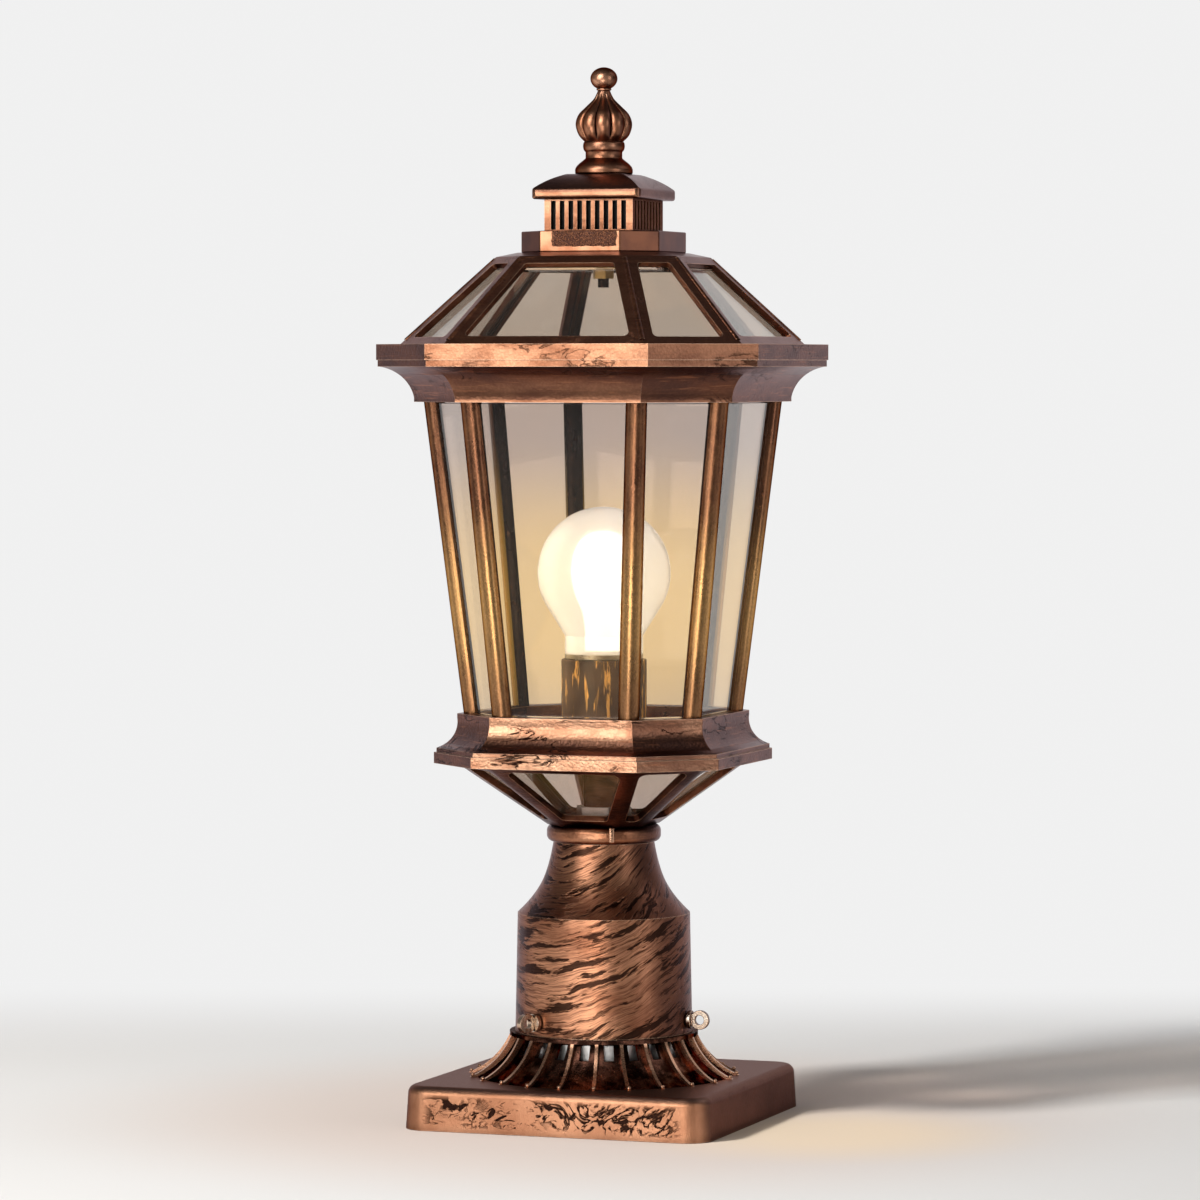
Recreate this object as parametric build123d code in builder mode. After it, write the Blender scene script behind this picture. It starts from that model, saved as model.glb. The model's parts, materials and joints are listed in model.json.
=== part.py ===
from build123d import *

import os
from math import cos, radians, sin

# A lantern on a round post fitter, standing on a square base plate.
# Millimetres, +Z up, origin at the middle of the base plate's underside, front towards -Y.
# Azimuths count from the front (-Y) towards +X. The lantern's plan is a square with cut corners,
# and a "corner radius" is the distance from the axis to that plan's corners.

# Plan of the lantern
WIDE_HALF_ANGLE = 30.0
NARROW_HALF_ANGLE = 15.0

# Base plate
BASE_HALF = 73.0
BASE_TOP_HALF = 72.0
BASE_HEIGHT = 20.0
BASE_CORNER = 12.0
BASE_EDGE = 4.0
BASE_WALL = 7.0
BASE_DECK = 6.0
BOLT_CIRCLE_R = 23.0
BOLT_HOLE_R = 3.25
BOLT_PILLAR_R = 8.0
BOLT_COUNT = 4

# Post stub and its fastenings
STUB_R = 37.4
STUB_WALL = 3.0
STUB_HEADROOM = 8.6
FLANGE_REACH = 9.6
FLANGE_THICKNESS = 3.0
FLANGE_SCREW_REACH = 4.8
FLANGE_SCREW_R = 2.0
SCREW_HEAD_R = 3.6
SCREW_HEAD_HEIGHT = 2.6
SCREW_PLAY = 0.1

# Fluted skirt
SKIRT_HEIGHT = 20.2
SKIRT_LEDGE = 1.9
SKIRT_MID_FLARE = 5.5
SKIRT_MID_RISE = 10.5
SKIRT_FLARE = 19.8
SKIRT_SHELL = 1.6
SKIRT_RING_HEIGHT = 1.8
SKIRT_RING_LIP = 0.7
RIB_COUNT = 24
RIB_WIDTH = 1.5
RIB_RISE = 3.0
SLOT_WIDTH = 4.4
SLOT_HEIGHT = 6.6
SLOT_HEADROOM = 2.6

# Post fitter, a bottle-shaped sleeve over the stub
FITTER_PLAY = 0.6
FITTER_SLEEVE = 2.7
FITTER_DRAFT = 1.1
FITTER_BODY_HEIGHT = 54.4
FITTER_NECK_HEIGHT = 32.8
FITTER_NECK_R = 23.1
FITTER_WALL = 3.0
FITTER_ROOF = 3.0

# Thumb screws
THUMB_AZIMUTHS = (-30, 90, 210)
THUMB_RISE = 6.3
THUMB_SHANK_R = 2.4
THUMB_PLAY = 0.08
THUMB_TIP_GAP = 0.3
THUMB_DISC_R = 4.2
THUMB_DISC_THICKNESS = 1.8
THUMB_LOOP_R = 4.4
THUMB_LOOP_HOLE_R = 2.2
THUMB_LOOP_THICKNESS = 2.6

# Neck collar and lamp stem
COLLAR_R = 26.2
COLLAR_HEIGHT = 7.9
COLLAR_ROUND = 3.0
STEM_R = 9.2
STEM_BORE_R = 5.0
STEM_TAIL = 20.4
STEM_PLAY = 0.1
NUT_R = 13.0
NUT_HEIGHT = 5.0

# Basket
BASKET_FOOT_R = 26.0
BASKET_HEIGHT = 28.8
BASKET_RIM_R = 68.4
BASKET_SHELL_RISE = 4.0
BASKET_BAR = 9.0
BASKET_WINDOW_FOOT = 5.0
BASKET_WINDOW_HEAD = 3.6
BASKET_WINDOW_CORNER = 3.0
BASKET_PANE_FOOT = 1.0

# Lower ring
LOWER_BAND_R = 79.0
LOWER_BAND_HEIGHT = 7.1
LOWER_TOP_R = 68.2
LOWER_COVE_HEIGHT = 15.6
LOWER_BEAD = 1.2
LOWER_BEAD_HEIGHT = 2.0
LOWER_LEDGE = 13.2

# Cage posts
CAGE_HEIGHT = 142.1
POST_R = 4.8
POST_FOOT_INSET = 3.1
POST_HEAD_INSET = 4.6

# Crown ring
CROWN_FOOT_R = 87.9
CROWN_COVE_HEIGHT = 16.0
CROWN_LIP_HEIGHT = 3.0
CROWN_LIP_STEP = 0.7
CROWN_FLARE = 17.4
CROWN_FASCIA_HEIGHT = 10.2
CROWN_DECK = 4.0
CROWN_LEDGE = 17.9
CROWN_WALL = 3.4

# Panes
PANE_THICKNESS = 3.0
PANE_END_GAP = 0.5
PANE_GROOVE = 2.0
ROOF_PANE_THICKNESS = 2.4
BASKET_PANE_THICKNESS = 2.0
PANE_HIP_GAP = 1.6

# Roof
ROOF_SETBACK = 11.1
ROOF_SEAT_DEPTH = 1.5
ROOF_SEAT_PLAY = 0.8
ROOF_RISE = 39.7
ROOF_BEND_R = 50.0
ROOF_SHOULDER_WIDTH = 10.0
ROOF_SHOULDER_RISE = 2.0
ROOF_SHELL_DROP = 4.0
ROOF_BAR = 11.5
ROOF_WINDOW_FOOT = 6.9
ROOF_WINDOW_HEAD = 4.6
ROOF_WINDOW_CORNER = 2.0
ROOF_PANE_FOOT = 9.0
ROOF_PANE_HEAD = 2.0
ROOF_MOUTH_INSET = 10.0

# Collar, vent box and vent cap
VENT_COLLAR_INSET = 1.6
VENT_COLLAR_HEIGHT = 9.6
VENT_COLLAR_WALL = 5.0
VENT_HALF = 21.25
VENT_HEIGHT = 14.5
VENT_LEDGE = 3.25
VENT_WALL = 2.2
VENT_RAIL = 0.7
VENT_POST = 3.2
VENT_SLOTS = 9
VENT_SLAT = 1.94
CAP_OVERHANG = 5.0
CAP_CORNER = 3.0
CAP_EDGE_HEIGHT = 4.2
CAP_DOME_HEIGHT = 7.5
CAP_BULGE = 0.8
CAP_EDGE_ROUND = 1.8

# Finial and its rod
FINIAL_FOOT_R = 13.2
FINIAL_FOOT_EDGE = 2.1
FINIAL_FOOT_HEIGHT = 7.5
FINIAL_RING_R = 8.4
FINIAL_RING_HEIGHT = 2.8
FINIAL_BEAD_R = 9.55
FINIAL_BEAD_HEIGHT = 4.8
ONION_R = 13.3
ONION_FLUTES = 10
ONION_LOW_R = 9.1
ONION_BELLY_RISE = 7.7
ONION_HEIGHT = 23.2
ONION_HIGH_R = 2.7
BALL_R = 6.2
BALL_HALF_HEIGHT = 5.2
BALL_FOOT_ANGLE = 60.0
BALL_RING_R = 3.4
BALL_RING_HEIGHT = 0.9
FLUTE_R = 2.2
FLUTE_DEPTH = 0.9
FLUTE_LEAN = 0.7
ROD_R = 2.5
ROD_PLAY = 0.08
ROD_GRIP = 11.5
ROD_END_GAP = 0.4
BRIDGE_HALF_WIDTH = 7.0
BRIDGE_THICKNESS = 2.5
ROD_NUT_R = 5.0
ROD_NUT_HEIGHT = 4.0

# Lampholder and bulb
HOLDER_R = 19.2
HOLDER_SINK = 6.8
HOLDER_HEIGHT = 31.2
HOLDER_FLOOR = 4.0
HOLDER_WALL = 3.6
INSULATOR_HEIGHT = 4.0
SHELL_GAP = 1.4
SHELL_WALL = 0.8
SHELL_RECESS = 2.2
CONTACT_R = 3.0
CONTACT_HEIGHT = 1.6
BULB_GAP = 0.4
BULB_CAP_PLAY = 0.35
BULB_TIP_R = 4.5
BULB_FLANGE_INSET = 1.6
BULB_FLANGE_HEIGHT = 2.0
BULB_R = 30.2
BULB_RISE = 37.2
BULB_NECK_HEIGHT = 8.4
BULB_NECK_ANGLE = 35.0
BULB_WALL = 1.2
LIGHT_BOARD_GAP = 2.4
LIGHT_BOARD_THICKNESS = 1.6

# Battery pack and leads
CELL_R = 9.1
CELL_LENGTH = 65.0
CELL_SPREAD = 10.0
TRAY_DROP = 9.0
TRAY_WALL = 3.0
TRAY_HALF_WIDTH = 20.0
TRAY_FRONT = 10.0
TRAY_BACK = 12.5
STRAP_HALF_WIDTH = 5.0
LUG_R = 12.0
LUG_THICKNESS = 4.0
BOARD_HALF_WIDTH = 16.0
BOARD_RISE = 7.0
BOARD_HEIGHT = 52.0
BOARD_THICKNESS = 1.6
PLUG_SIZE = (6.0, 5.0, 8.0)
PLUG_SPREAD = 11.0
LEAD_R = 1.1
LEAD_DROP = 3.0
LEAD_SPREAD = 2.2
LEAD_BEND = 4.0

# Cage screws
CAGE_SCREW_R = 1.6
CAGE_SCREW_LENGTH = 14.0
CAGE_HEAD_R = 3.0
CAGE_HEAD_HEIGHT = 2.4
CAGE_RING_GRIP = 8.0

# Heights of the stack, each from the one below it
SKIRT_TOP = BASE_HEIGHT + SKIRT_HEIGHT
FITTER_SHOULDER = SKIRT_TOP + FITTER_BODY_HEIGHT
FITTER_TOP = FITTER_SHOULDER + FITTER_NECK_HEIGHT
COLLAR_TOP = FITTER_TOP + COLLAR_HEIGHT
BASKET_RIM_Z = COLLAR_TOP + BASKET_HEIGHT
LOWER_BAND_TOP = BASKET_RIM_Z + LOWER_BAND_HEIGHT
LOWER_TOP = LOWER_BAND_TOP + LOWER_COVE_HEIGHT
CROWN_FOOT = LOWER_TOP + CAGE_HEIGHT
CROWN_LIP_Z = CROWN_FOOT + CROWN_COVE_HEIGHT
CROWN_TOP = CROWN_LIP_Z + CROWN_FASCIA_HEIGHT
ROOF_SEAT = CROWN_TOP - ROOF_SEAT_DEPTH
ROOF_BEND_Z = CROWN_TOP + ROOF_RISE
ROOF_TOP = ROOF_BEND_Z + ROOF_SHOULDER_RISE
VENT_COLLAR_TOP = ROOF_TOP + VENT_COLLAR_HEIGHT
VENT_TOP = VENT_COLLAR_TOP + VENT_HEIGHT
CAP_EDGE_TOP = VENT_TOP + CAP_EDGE_HEIGHT
CAP_TOP = CAP_EDGE_TOP + CAP_DOME_HEIGHT
FINIAL_RING_LOW = CAP_TOP + FINIAL_FOOT_HEIGHT
FINIAL_BEAD_LOW = FINIAL_RING_LOW + FINIAL_RING_HEIGHT
ONION_LOW = FINIAL_BEAD_LOW + FINIAL_BEAD_HEIGHT
ONION_HIGH = ONION_LOW + ONION_HEIGHT
STUB_TOP = FITTER_SHOULDER - STUB_HEADROOM
THUMB_Z = SKIRT_TOP + THUMB_RISE
STEM_FOOT = FITTER_TOP - STEM_TAIL
HOLDER_FOOT = LOWER_TOP - HOLDER_SINK
HOLDER_TOP = HOLDER_FOOT + HOLDER_HEIGHT
STEM_TOP = HOLDER_FOOT + HOLDER_FLOOR
ROD_TOP = CAP_TOP + ROD_GRIP

# Radii that follow from a neighbour's
FLANGE_R = STUB_R + FLANGE_REACH
FLANGE_SCREW_CIRCLE_R = STUB_R + FLANGE_SCREW_REACH
FITTER_BORE_R = STUB_R + FITTER_PLAY
FITTER_FOOT_R = FITTER_BORE_R + FITTER_SLEEVE
FITTER_TOP_R = FITTER_FOOT_R - FITTER_DRAFT
SKIRT_TOP_R = FITTER_FOOT_R + SKIRT_LEDGE
SKIRT_MID_R = SKIRT_TOP_R + SKIRT_MID_FLARE
SKIRT_FOOT_R = SKIRT_TOP_R + SKIRT_FLARE
STEM_HOLE_R = STEM_R + STEM_PLAY
LOWER_HOLE_R = LOWER_TOP_R - LOWER_LEDGE
CROWN_R = CROWN_FOOT_R + CROWN_FLARE
CROWN_HOLE_R = CROWN_FOOT_R - CROWN_LEDGE
CROWN_BORE_R = CROWN_FOOT_R - CROWN_WALL
ROOF_SIGHT_R = CROWN_R - ROOF_SETBACK
ROOF_SLOPE = (ROOF_SIGHT_R - ROOF_BEND_R) / ROOF_RISE
ROOF_FOOT_R = ROOF_SIGHT_R + ROOF_SEAT_DEPTH * ROOF_SLOPE
ROOF_SHOULDER_R = ROOF_BEND_R - ROOF_SHOULDER_WIDTH
ROOF_MOUTH_R = ROOF_SHOULDER_R - ROOF_MOUTH_INSET
VENT_COLLAR_R = ROOF_SHOULDER_R - VENT_COLLAR_INSET
VENT_MOUTH_HALF = VENT_HALF - VENT_LEDGE
CAP_HALF = VENT_HALF + CAP_OVERHANG
HOLDER_BORE_R = HOLDER_R - HOLDER_WALL
SHELL_R = HOLDER_BORE_R - SHELL_GAP
BULB_CAP_R = SHELL_R - SHELL_WALL - BULB_CAP_PLAY
BULB_FLANGE_R = HOLDER_R - BULB_FLANGE_INSET

# Plan of the lantern's eight sides and corners, and the axes of its posts
WIDE_SHARE = cos(radians(WIDE_HALF_ANGLE))
NARROW_SHARE = cos(radians(NARROW_HALF_ANGLE))
SIDES = [(90 * k, WIDE_HALF_ANGLE) for k in range(4)] + [(45 + 90 * k, NARROW_HALF_ANGLE) for k in range(4)]
CORNERS = [90 * k + turn for k in range(4) for turn in (-WIDE_HALF_ANGLE, WIDE_HALF_ANGLE)]
POST_FOOT_AXIS = (LOWER_TOP_R - POST_FOOT_INSET - POST_R, LOWER_TOP)
POST_HEAD_AXIS = (CROWN_FOOT_R - POST_HEAD_INSET - POST_R, CROWN_FOOT)

os.makedirs("parts", exist_ok=True)


def compass(azimuth, radius):
    """Plan point at an azimuth and a distance from the axis."""
    return (radius * sin(radians(azimuth)), -radius * cos(radians(azimuth)))


def upright(azimuth):
    """Plane through the axis, with x outward at an azimuth and y up."""
    outward = Vector(*compass(azimuth, 1), 0)
    return Plane(origin=(0, 0, 0), x_dir=outward, z_dir=outward.cross(Vector(0, 0, 1)))


def radial(azimuth, height):
    """Plane at a height with its origin on the axis and its normal outward at an azimuth."""
    along = Vector(*compass(azimuth + 90, 1), 0)
    return Plane(origin=(0, 0, height), x_dir=along, z_dir=Vector(*compass(azimuth, 1), 0))


def frustum(low, high):
    """Solid between two plans, each given as its (corner radius, height)."""
    with BuildPart(mode=Mode.PRIVATE) as made:
        for radius, height in (low, high):
            with BuildSketch(Plane.XY.offset(height)):
                Polygon(*[compass(azimuth, radius) for azimuth in CORNERS], align=None)
        loft()
    return made.part


def moulding(profile):
    """Solid whose eight sides follow a profile, a list of (corner radius, height) stations.

    A station with a third value is the end of an arc that passes through that third value,
    itself a (corner radius, height) pair.
    """
    reach = 2 * max(station[0] for station in profile)
    with BuildPart(mode=Mode.PRIVATE) as made:
        for turn in range(4):
            share = WIDE_SHARE if turn % 2 == 0 else NARROW_SHARE
            with BuildSketch(upright(90 + 45 * turn)):
                with BuildLine():
                    for start, end in zip(profile, profile[1:]):
                        ends = [(share * radius, height) for radius, height, *via in (start, end)]
                        if len(end) == 3:
                            radius, height = end[2]
                            ThreePointArc(ends[0], (share * radius, height), ends[1])
                        else:
                            Line(*ends)
                    Line((share * profile[-1][0], profile[-1][1]), (0, profile[-1][1]))
                    Line((0, profile[-1][1]), (0, profile[0][1]))
                    Line((0, profile[0][1]), (share * profile[0][0], profile[0][1]))
                make_face()
                mirror(about=Plane.YZ)
            extrude(amount=reach, both=True, mode=Mode.ADD if turn == 0 else Mode.INTERSECT)
    return made.part


def side_plane(side, low, high):
    """Plane of one side of a frustum: origin at its foot, x along the side, y up it, z outward."""
    azimuth, half_angle = side
    share = cos(radians(half_angle))
    along = Vector(*compass(azimuth + 90, 1), 0)
    foot = Vector(*compass(azimuth, share * low[0]), low[1])
    head = Vector(*compass(azimuth, share * high[0]), high[1])
    return Plane(origin=foot, x_dir=along, z_dir=along.cross(head - foot)), (head - foot).length


def side_sheet(side, low, high, edge, foot, head, inward, outward=0.0, corner=0.0):
    """Plate on one side of a frustum, inset from its edges, reaching inward and outward of it."""
    plane, length = side_plane(side, low, high)
    spread = sin(radians(side[1]))

    def half_width(up):
        return spread * (low[0] + (high[0] - low[0]) * up / length) - edge

    with BuildPart(mode=Mode.PRIVATE) as made:
        with BuildSketch(plane.offset(-inward)) as outline:
            Polygon(
                (-half_width(foot), foot),
                (half_width(foot), foot),
                (half_width(length - head), length - head),
                (-half_width(length - head), length - head),
                align=None,
            )
            if corner:
                fillet(outline.vertices(), corner)
        extrude(amount=inward + outward)
    return made.part


def side_name(index):
    """Name of a side: four wide ones, then four narrow ones."""
    return f"wide_{index + 1}" if index < 4 else f"narrow_{index - 3}"


def keep(part, name):
    """Labels a finished piece and writes it."""
    part.label = name
    export_step(part, f"parts/{name}.step")


# Base plate: hollow casting with four bolt pillars
BASE_INNER_HALF = BASE_HALF - BASE_WALL
with BuildPart() as base_plate:
    for half, height in ((BASE_HALF, 0), (BASE_TOP_HALF, BASE_HEIGHT)):
        with BuildSketch(Plane.XY.offset(height)):
            RectangleRounded(2 * half, 2 * half, BASE_CORNER)
    loft()
    fillet(base_plate.edges().group_by(Axis.Z)[-1], BASE_EDGE)
    with BuildSketch():
        RectangleRounded(2 * BASE_INNER_HALF, 2 * BASE_INNER_HALF, BASE_CORNER - BASE_WALL / 2)
    extrude(amount=BASE_HEIGHT - BASE_DECK, mode=Mode.SUBTRACT)
    with BuildSketch():
        with PolarLocations(BOLT_CIRCLE_R, BOLT_COUNT, start_angle=180 / BOLT_COUNT):
            Circle(BOLT_PILLAR_R)
    extrude(amount=BASE_HEIGHT - BASE_DECK)
    with BuildSketch():
        with PolarLocations(BOLT_CIRCLE_R, BOLT_COUNT, start_angle=180 / BOLT_COUNT):
            Circle(BOLT_HOLE_R)
        with PolarLocations(FLANGE_SCREW_CIRCLE_R, BOLT_COUNT):
            Circle(FLANGE_SCREW_R + SCREW_PLAY)
    extrude(amount=BASE_HEIGHT, mode=Mode.SUBTRACT)
keep(base_plate.part, "base_plate")

# Post stub: bare tube on a round flange
with BuildPart() as post_stub:
    with BuildSketch(Plane.XY.offset(BASE_HEIGHT)):
        Circle(FLANGE_R)
        with PolarLocations(FLANGE_SCREW_CIRCLE_R, BOLT_COUNT):
            Circle(FLANGE_SCREW_R + SCREW_PLAY, mode=Mode.SUBTRACT)
    extrude(amount=FLANGE_THICKNESS)
    with BuildSketch(Plane.XY.offset(BASE_HEIGHT)):
        Circle(STUB_R)
    extrude(amount=STUB_TOP - BASE_HEIGHT)
    with BuildSketch(Plane.XY.offset(BASE_HEIGHT)):
        Circle(STUB_R - STUB_WALL)
    extrude(amount=STUB_TOP - BASE_HEIGHT, mode=Mode.SUBTRACT)
keep(post_stub.part, "post_stub")

# Bolts that hold the stub's flange to the base deck, each with its nut drawn up and staked
FLANGE_TOP = BASE_HEIGHT + FLANGE_THICKNESS
DECK_UNDERSIDE = BASE_HEIGHT - BASE_DECK
with BuildPart() as flange_bolts:
    with BuildSketch(Plane.XY.offset(DECK_UNDERSIDE - SCREW_HEAD_HEIGHT)):
        with PolarLocations(FLANGE_SCREW_CIRCLE_R, BOLT_COUNT):
            Circle(FLANGE_SCREW_R)
    extrude(amount=FLANGE_TOP - DECK_UNDERSIDE + SCREW_HEAD_HEIGHT)
    with BuildSketch(Plane.XY.offset(FLANGE_TOP)):
        with PolarLocations(FLANGE_SCREW_CIRCLE_R, BOLT_COUNT):
            Circle(SCREW_HEAD_R)
    extrude(amount=SCREW_HEAD_HEIGHT)
    with BuildSketch(Plane.XY.offset(DECK_UNDERSIDE)):
        with PolarLocations(FLANGE_SCREW_CIRCLE_R, BOLT_COUNT):
            RegularPolygon(SCREW_HEAD_R, 6)
    extrude(amount=-SCREW_HEAD_HEIGHT)
keep(flange_bolts.part, "flange_bolts")

# Fluted skirt: thin flared shell with slots, upright ribs and a top ring
SHELL_TOP_R = SKIRT_TOP_R - RIB_RISE
SHELL_MID_R = SKIRT_MID_R - RIB_RISE
SHELL_FOOT_R = SKIRT_FOOT_R - RIB_RISE
SKIRT_MID_Z = BASE_HEIGHT + SKIRT_MID_RISE
SLOT_MIDDLE = SKIRT_TOP - SLOT_HEADROOM - SLOT_HEIGHT / 2
with BuildPart() as rib:
    with BuildSketch(Plane.XZ):
        with BuildLine():
            ThreePointArc((SKIRT_FOOT_R, BASE_HEIGHT), (SKIRT_MID_R, SKIRT_MID_Z), (SKIRT_TOP_R, SKIRT_TOP))
            Line((SKIRT_TOP_R, SKIRT_TOP), (SHELL_TOP_R - SKIRT_SHELL / 2, SKIRT_TOP))
            ThreePointArc(
                (SHELL_TOP_R - SKIRT_SHELL / 2, SKIRT_TOP),
                (SHELL_MID_R - SKIRT_SHELL / 2, SKIRT_MID_Z - SKIRT_SHELL / 4),
                (SHELL_FOOT_R - SKIRT_SHELL, BASE_HEIGHT),
            )
            Line((SHELL_FOOT_R - SKIRT_SHELL, BASE_HEIGHT), (SKIRT_FOOT_R, BASE_HEIGHT))
        make_face()
    extrude(amount=RIB_WIDTH / 2, both=True)

with BuildPart() as skirt:
    with BuildSketch(Plane.XZ):
        with BuildLine():
            ThreePointArc((SHELL_FOOT_R, BASE_HEIGHT), (SHELL_MID_R, SKIRT_MID_Z), (SHELL_TOP_R, SKIRT_TOP))
            Line((SHELL_TOP_R, SKIRT_TOP), (SHELL_TOP_R - SKIRT_SHELL, SKIRT_TOP))
            ThreePointArc(
                (SHELL_TOP_R - SKIRT_SHELL, SKIRT_TOP),
                (SHELL_MID_R - SKIRT_SHELL, SKIRT_MID_Z - SKIRT_SHELL / 2),
                (SHELL_FOOT_R - 2 * SKIRT_SHELL, BASE_HEIGHT),
            )
            Line((SHELL_FOOT_R - 2 * SKIRT_SHELL, BASE_HEIGHT), (SHELL_FOOT_R, BASE_HEIGHT))
        make_face()
    revolve(axis=Axis.Z)
    with Locations((0, 0, SLOT_MIDDLE)):
        with PolarLocations(SHELL_MID_R, RIB_COUNT, start_angle=180 / RIB_COUNT):
            Box(SHELL_MID_R / 2, SLOT_WIDTH, SLOT_HEIGHT, mode=Mode.SUBTRACT)
    with PolarLocations(0, RIB_COUNT):
        add(rib.part)
    with BuildSketch(Plane.XY.offset(SKIRT_TOP)):
        Circle(SKIRT_TOP_R + SKIRT_RING_LIP)
        Circle(SHELL_TOP_R - SKIRT_SHELL, mode=Mode.SUBTRACT)
    extrude(amount=-SKIRT_RING_HEIGHT)
keep(skirt.part, "skirt")

# Post fitter: bottle-shaped sleeve that stands on the skirt's top ring
NECK_CURVE = ((1.0, 0.0), (0.61, 0.21), (0.325, 0.43), (0.14, 0.68), (0.0, 1.0))
fitter_line = [
    (
        FITTER_NECK_R + across * (FITTER_TOP_R - FITTER_NECK_R),
        FITTER_SHOULDER + up * FITTER_NECK_HEIGHT,
    )
    for across, up in NECK_CURVE
]
fitter_inside = [(radius - FITTER_WALL, height - FITTER_WALL / 2) for radius, height in fitter_line[:-1]]
with BuildPart() as fitter:
    with BuildSketch(Plane.XZ):
        with BuildLine():
            Line((FITTER_BORE_R, SKIRT_TOP), (FITTER_FOOT_R, SKIRT_TOP))
            Line((FITTER_FOOT_R, SKIRT_TOP), fitter_line[0])
            Spline(*fitter_line)
            Polyline(
                fitter_line[-1],
                (STEM_HOLE_R, FITTER_TOP),
                (STEM_HOLE_R, FITTER_TOP - FITTER_ROOF),
                (FITTER_NECK_R - FITTER_WALL, FITTER_TOP - FITTER_ROOF),
                *reversed(fitter_inside),
                (FITTER_BORE_R, STUB_TOP + FITTER_WALL / 2),
                (FITTER_BORE_R, SKIRT_TOP),
            )
        make_face()
    revolve(axis=Axis.Z)
    for azimuth in THUMB_AZIMUTHS:
        with BuildSketch(radial(azimuth, THUMB_Z)):
            Circle(THUMB_SHANK_R + THUMB_PLAY)
        extrude(amount=2 * FITTER_FOOT_R, mode=Mode.SUBTRACT)
keep(fitter.part, "fitter")

# Thumb screws: shank, round disc and a flat loop head
THUMB_DISC_FOOT = FITTER_FOOT_R + THUMB_TIP_GAP
THUMB_DISC_HEAD = THUMB_DISC_FOOT + THUMB_DISC_THICKNESS
THUMB_LOOP_CENTRE = THUMB_DISC_HEAD + THUMB_LOOP_R - THUMB_LOOP_THICKNESS / 4
for number, azimuth in enumerate(THUMB_AZIMUTHS, 1):
    with BuildPart() as thumb_screw:
        with BuildSketch(radial(azimuth, THUMB_Z).offset(STUB_R + THUMB_TIP_GAP)):
            Circle(THUMB_SHANK_R)
        extrude(amount=THUMB_DISC_HEAD - STUB_R - THUMB_TIP_GAP)
        with BuildSketch(radial(azimuth, THUMB_Z).offset(THUMB_DISC_FOOT)):
            Circle(THUMB_DISC_R)
        extrude(amount=THUMB_DISC_THICKNESS)
        with BuildSketch(upright(azimuth)):
            with Locations((THUMB_LOOP_CENTRE, THUMB_Z)):
                Circle(THUMB_LOOP_R)
                Circle(THUMB_LOOP_HOLE_R, mode=Mode.SUBTRACT)
        extrude(amount=THUMB_LOOP_THICKNESS / 2, both=True)
    keep(thumb_screw.part, f"thumb_screw_{number}")

# Neck collar: round disc with a full edge, between fitter and basket
with BuildPart() as neck_collar:
    with BuildSketch(Plane.XY.offset(FITTER_TOP)):
        Circle(COLLAR_R)
    extrude(amount=COLLAR_TOP - FITTER_TOP)
    fillet(neck_collar.edges().filter_by(GeomType.CIRCLE), COLLAR_ROUND)
    with BuildSketch(Plane.XY.offset(FITTER_TOP)):
        Circle(STEM_HOLE_R)
    extrude(amount=COLLAR_TOP - FITTER_TOP, mode=Mode.SUBTRACT)
keep(neck_collar.part, "neck_collar")

# Lamp stem: tube from inside the fitter up to the lampholder
with BuildPart() as lamp_stem:
    with BuildSketch(Plane.XY.offset(STEM_FOOT)):
        Circle(STEM_R)
        Circle(STEM_BORE_R, mode=Mode.SUBTRACT)
    extrude(amount=STEM_TOP - STEM_FOOT)
keep(lamp_stem.part, "lamp_stem")

# Nuts on the stem: under the fitter's roof, under the battery lug, on the basket's floor, under the holder
FITTER_NUT_FOOT = FITTER_TOP - FITTER_ROOF - NUT_HEIGHT
LUG_FOOT = FITTER_NUT_FOOT - LUG_THICKNESS
BASKET_FLOOR_TOP = COLLAR_TOP + BASKET_SHELL_RISE
with BuildPart() as stem_nuts:
    for foot in (FITTER_NUT_FOOT, LUG_FOOT - NUT_HEIGHT, BASKET_FLOOR_TOP, HOLDER_FOOT - NUT_HEIGHT):
        with BuildSketch(Plane.XY.offset(foot)):
            RegularPolygon(NUT_R, 6)
            Circle(STEM_R, mode=Mode.SUBTRACT)
        extrude(amount=NUT_HEIGHT)
keep(stem_nuts.part, "stem_nuts")

# Basket: inverted glazed frame of eight bars, its panes behind the bars
BASKET_FOOT = (BASKET_FOOT_R, COLLAR_TOP)
BASKET_RIM = (BASKET_RIM_R, BASKET_RIM_Z)
BASKET_INNER_FOOT = (BASKET_FOOT_R, COLLAR_TOP + BASKET_SHELL_RISE)
BASKET_INNER_RIM = (BASKET_RIM_R, BASKET_RIM_Z + BASKET_SHELL_RISE)
basket_outside = frustum(BASKET_FOOT, BASKET_RIM)
basket_inside = frustum(BASKET_INNER_FOOT, BASKET_INNER_RIM)
basket_windows = [
    side_sheet(
        side,
        BASKET_FOOT,
        BASKET_RIM,
        edge=BASKET_BAR / 2,
        foot=BASKET_WINDOW_FOOT,
        head=BASKET_WINDOW_HEAD,
        inward=2 * BASKET_SHELL_RISE,
        outward=BASKET_SHELL_RISE,
        corner=BASKET_WINDOW_CORNER,
    )
    for side in SIDES
]
with BuildPart() as basket_frame:
    add(basket_outside)
    add(basket_inside, mode=Mode.SUBTRACT)
    add(basket_windows, mode=Mode.SUBTRACT)
    with BuildSketch(Plane.XY.offset(COLLAR_TOP)):
        Circle(STEM_HOLE_R)
    extrude(amount=BASKET_SHELL_RISE, mode=Mode.SUBTRACT)
keep(basket_frame.part, "basket_frame")

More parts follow.
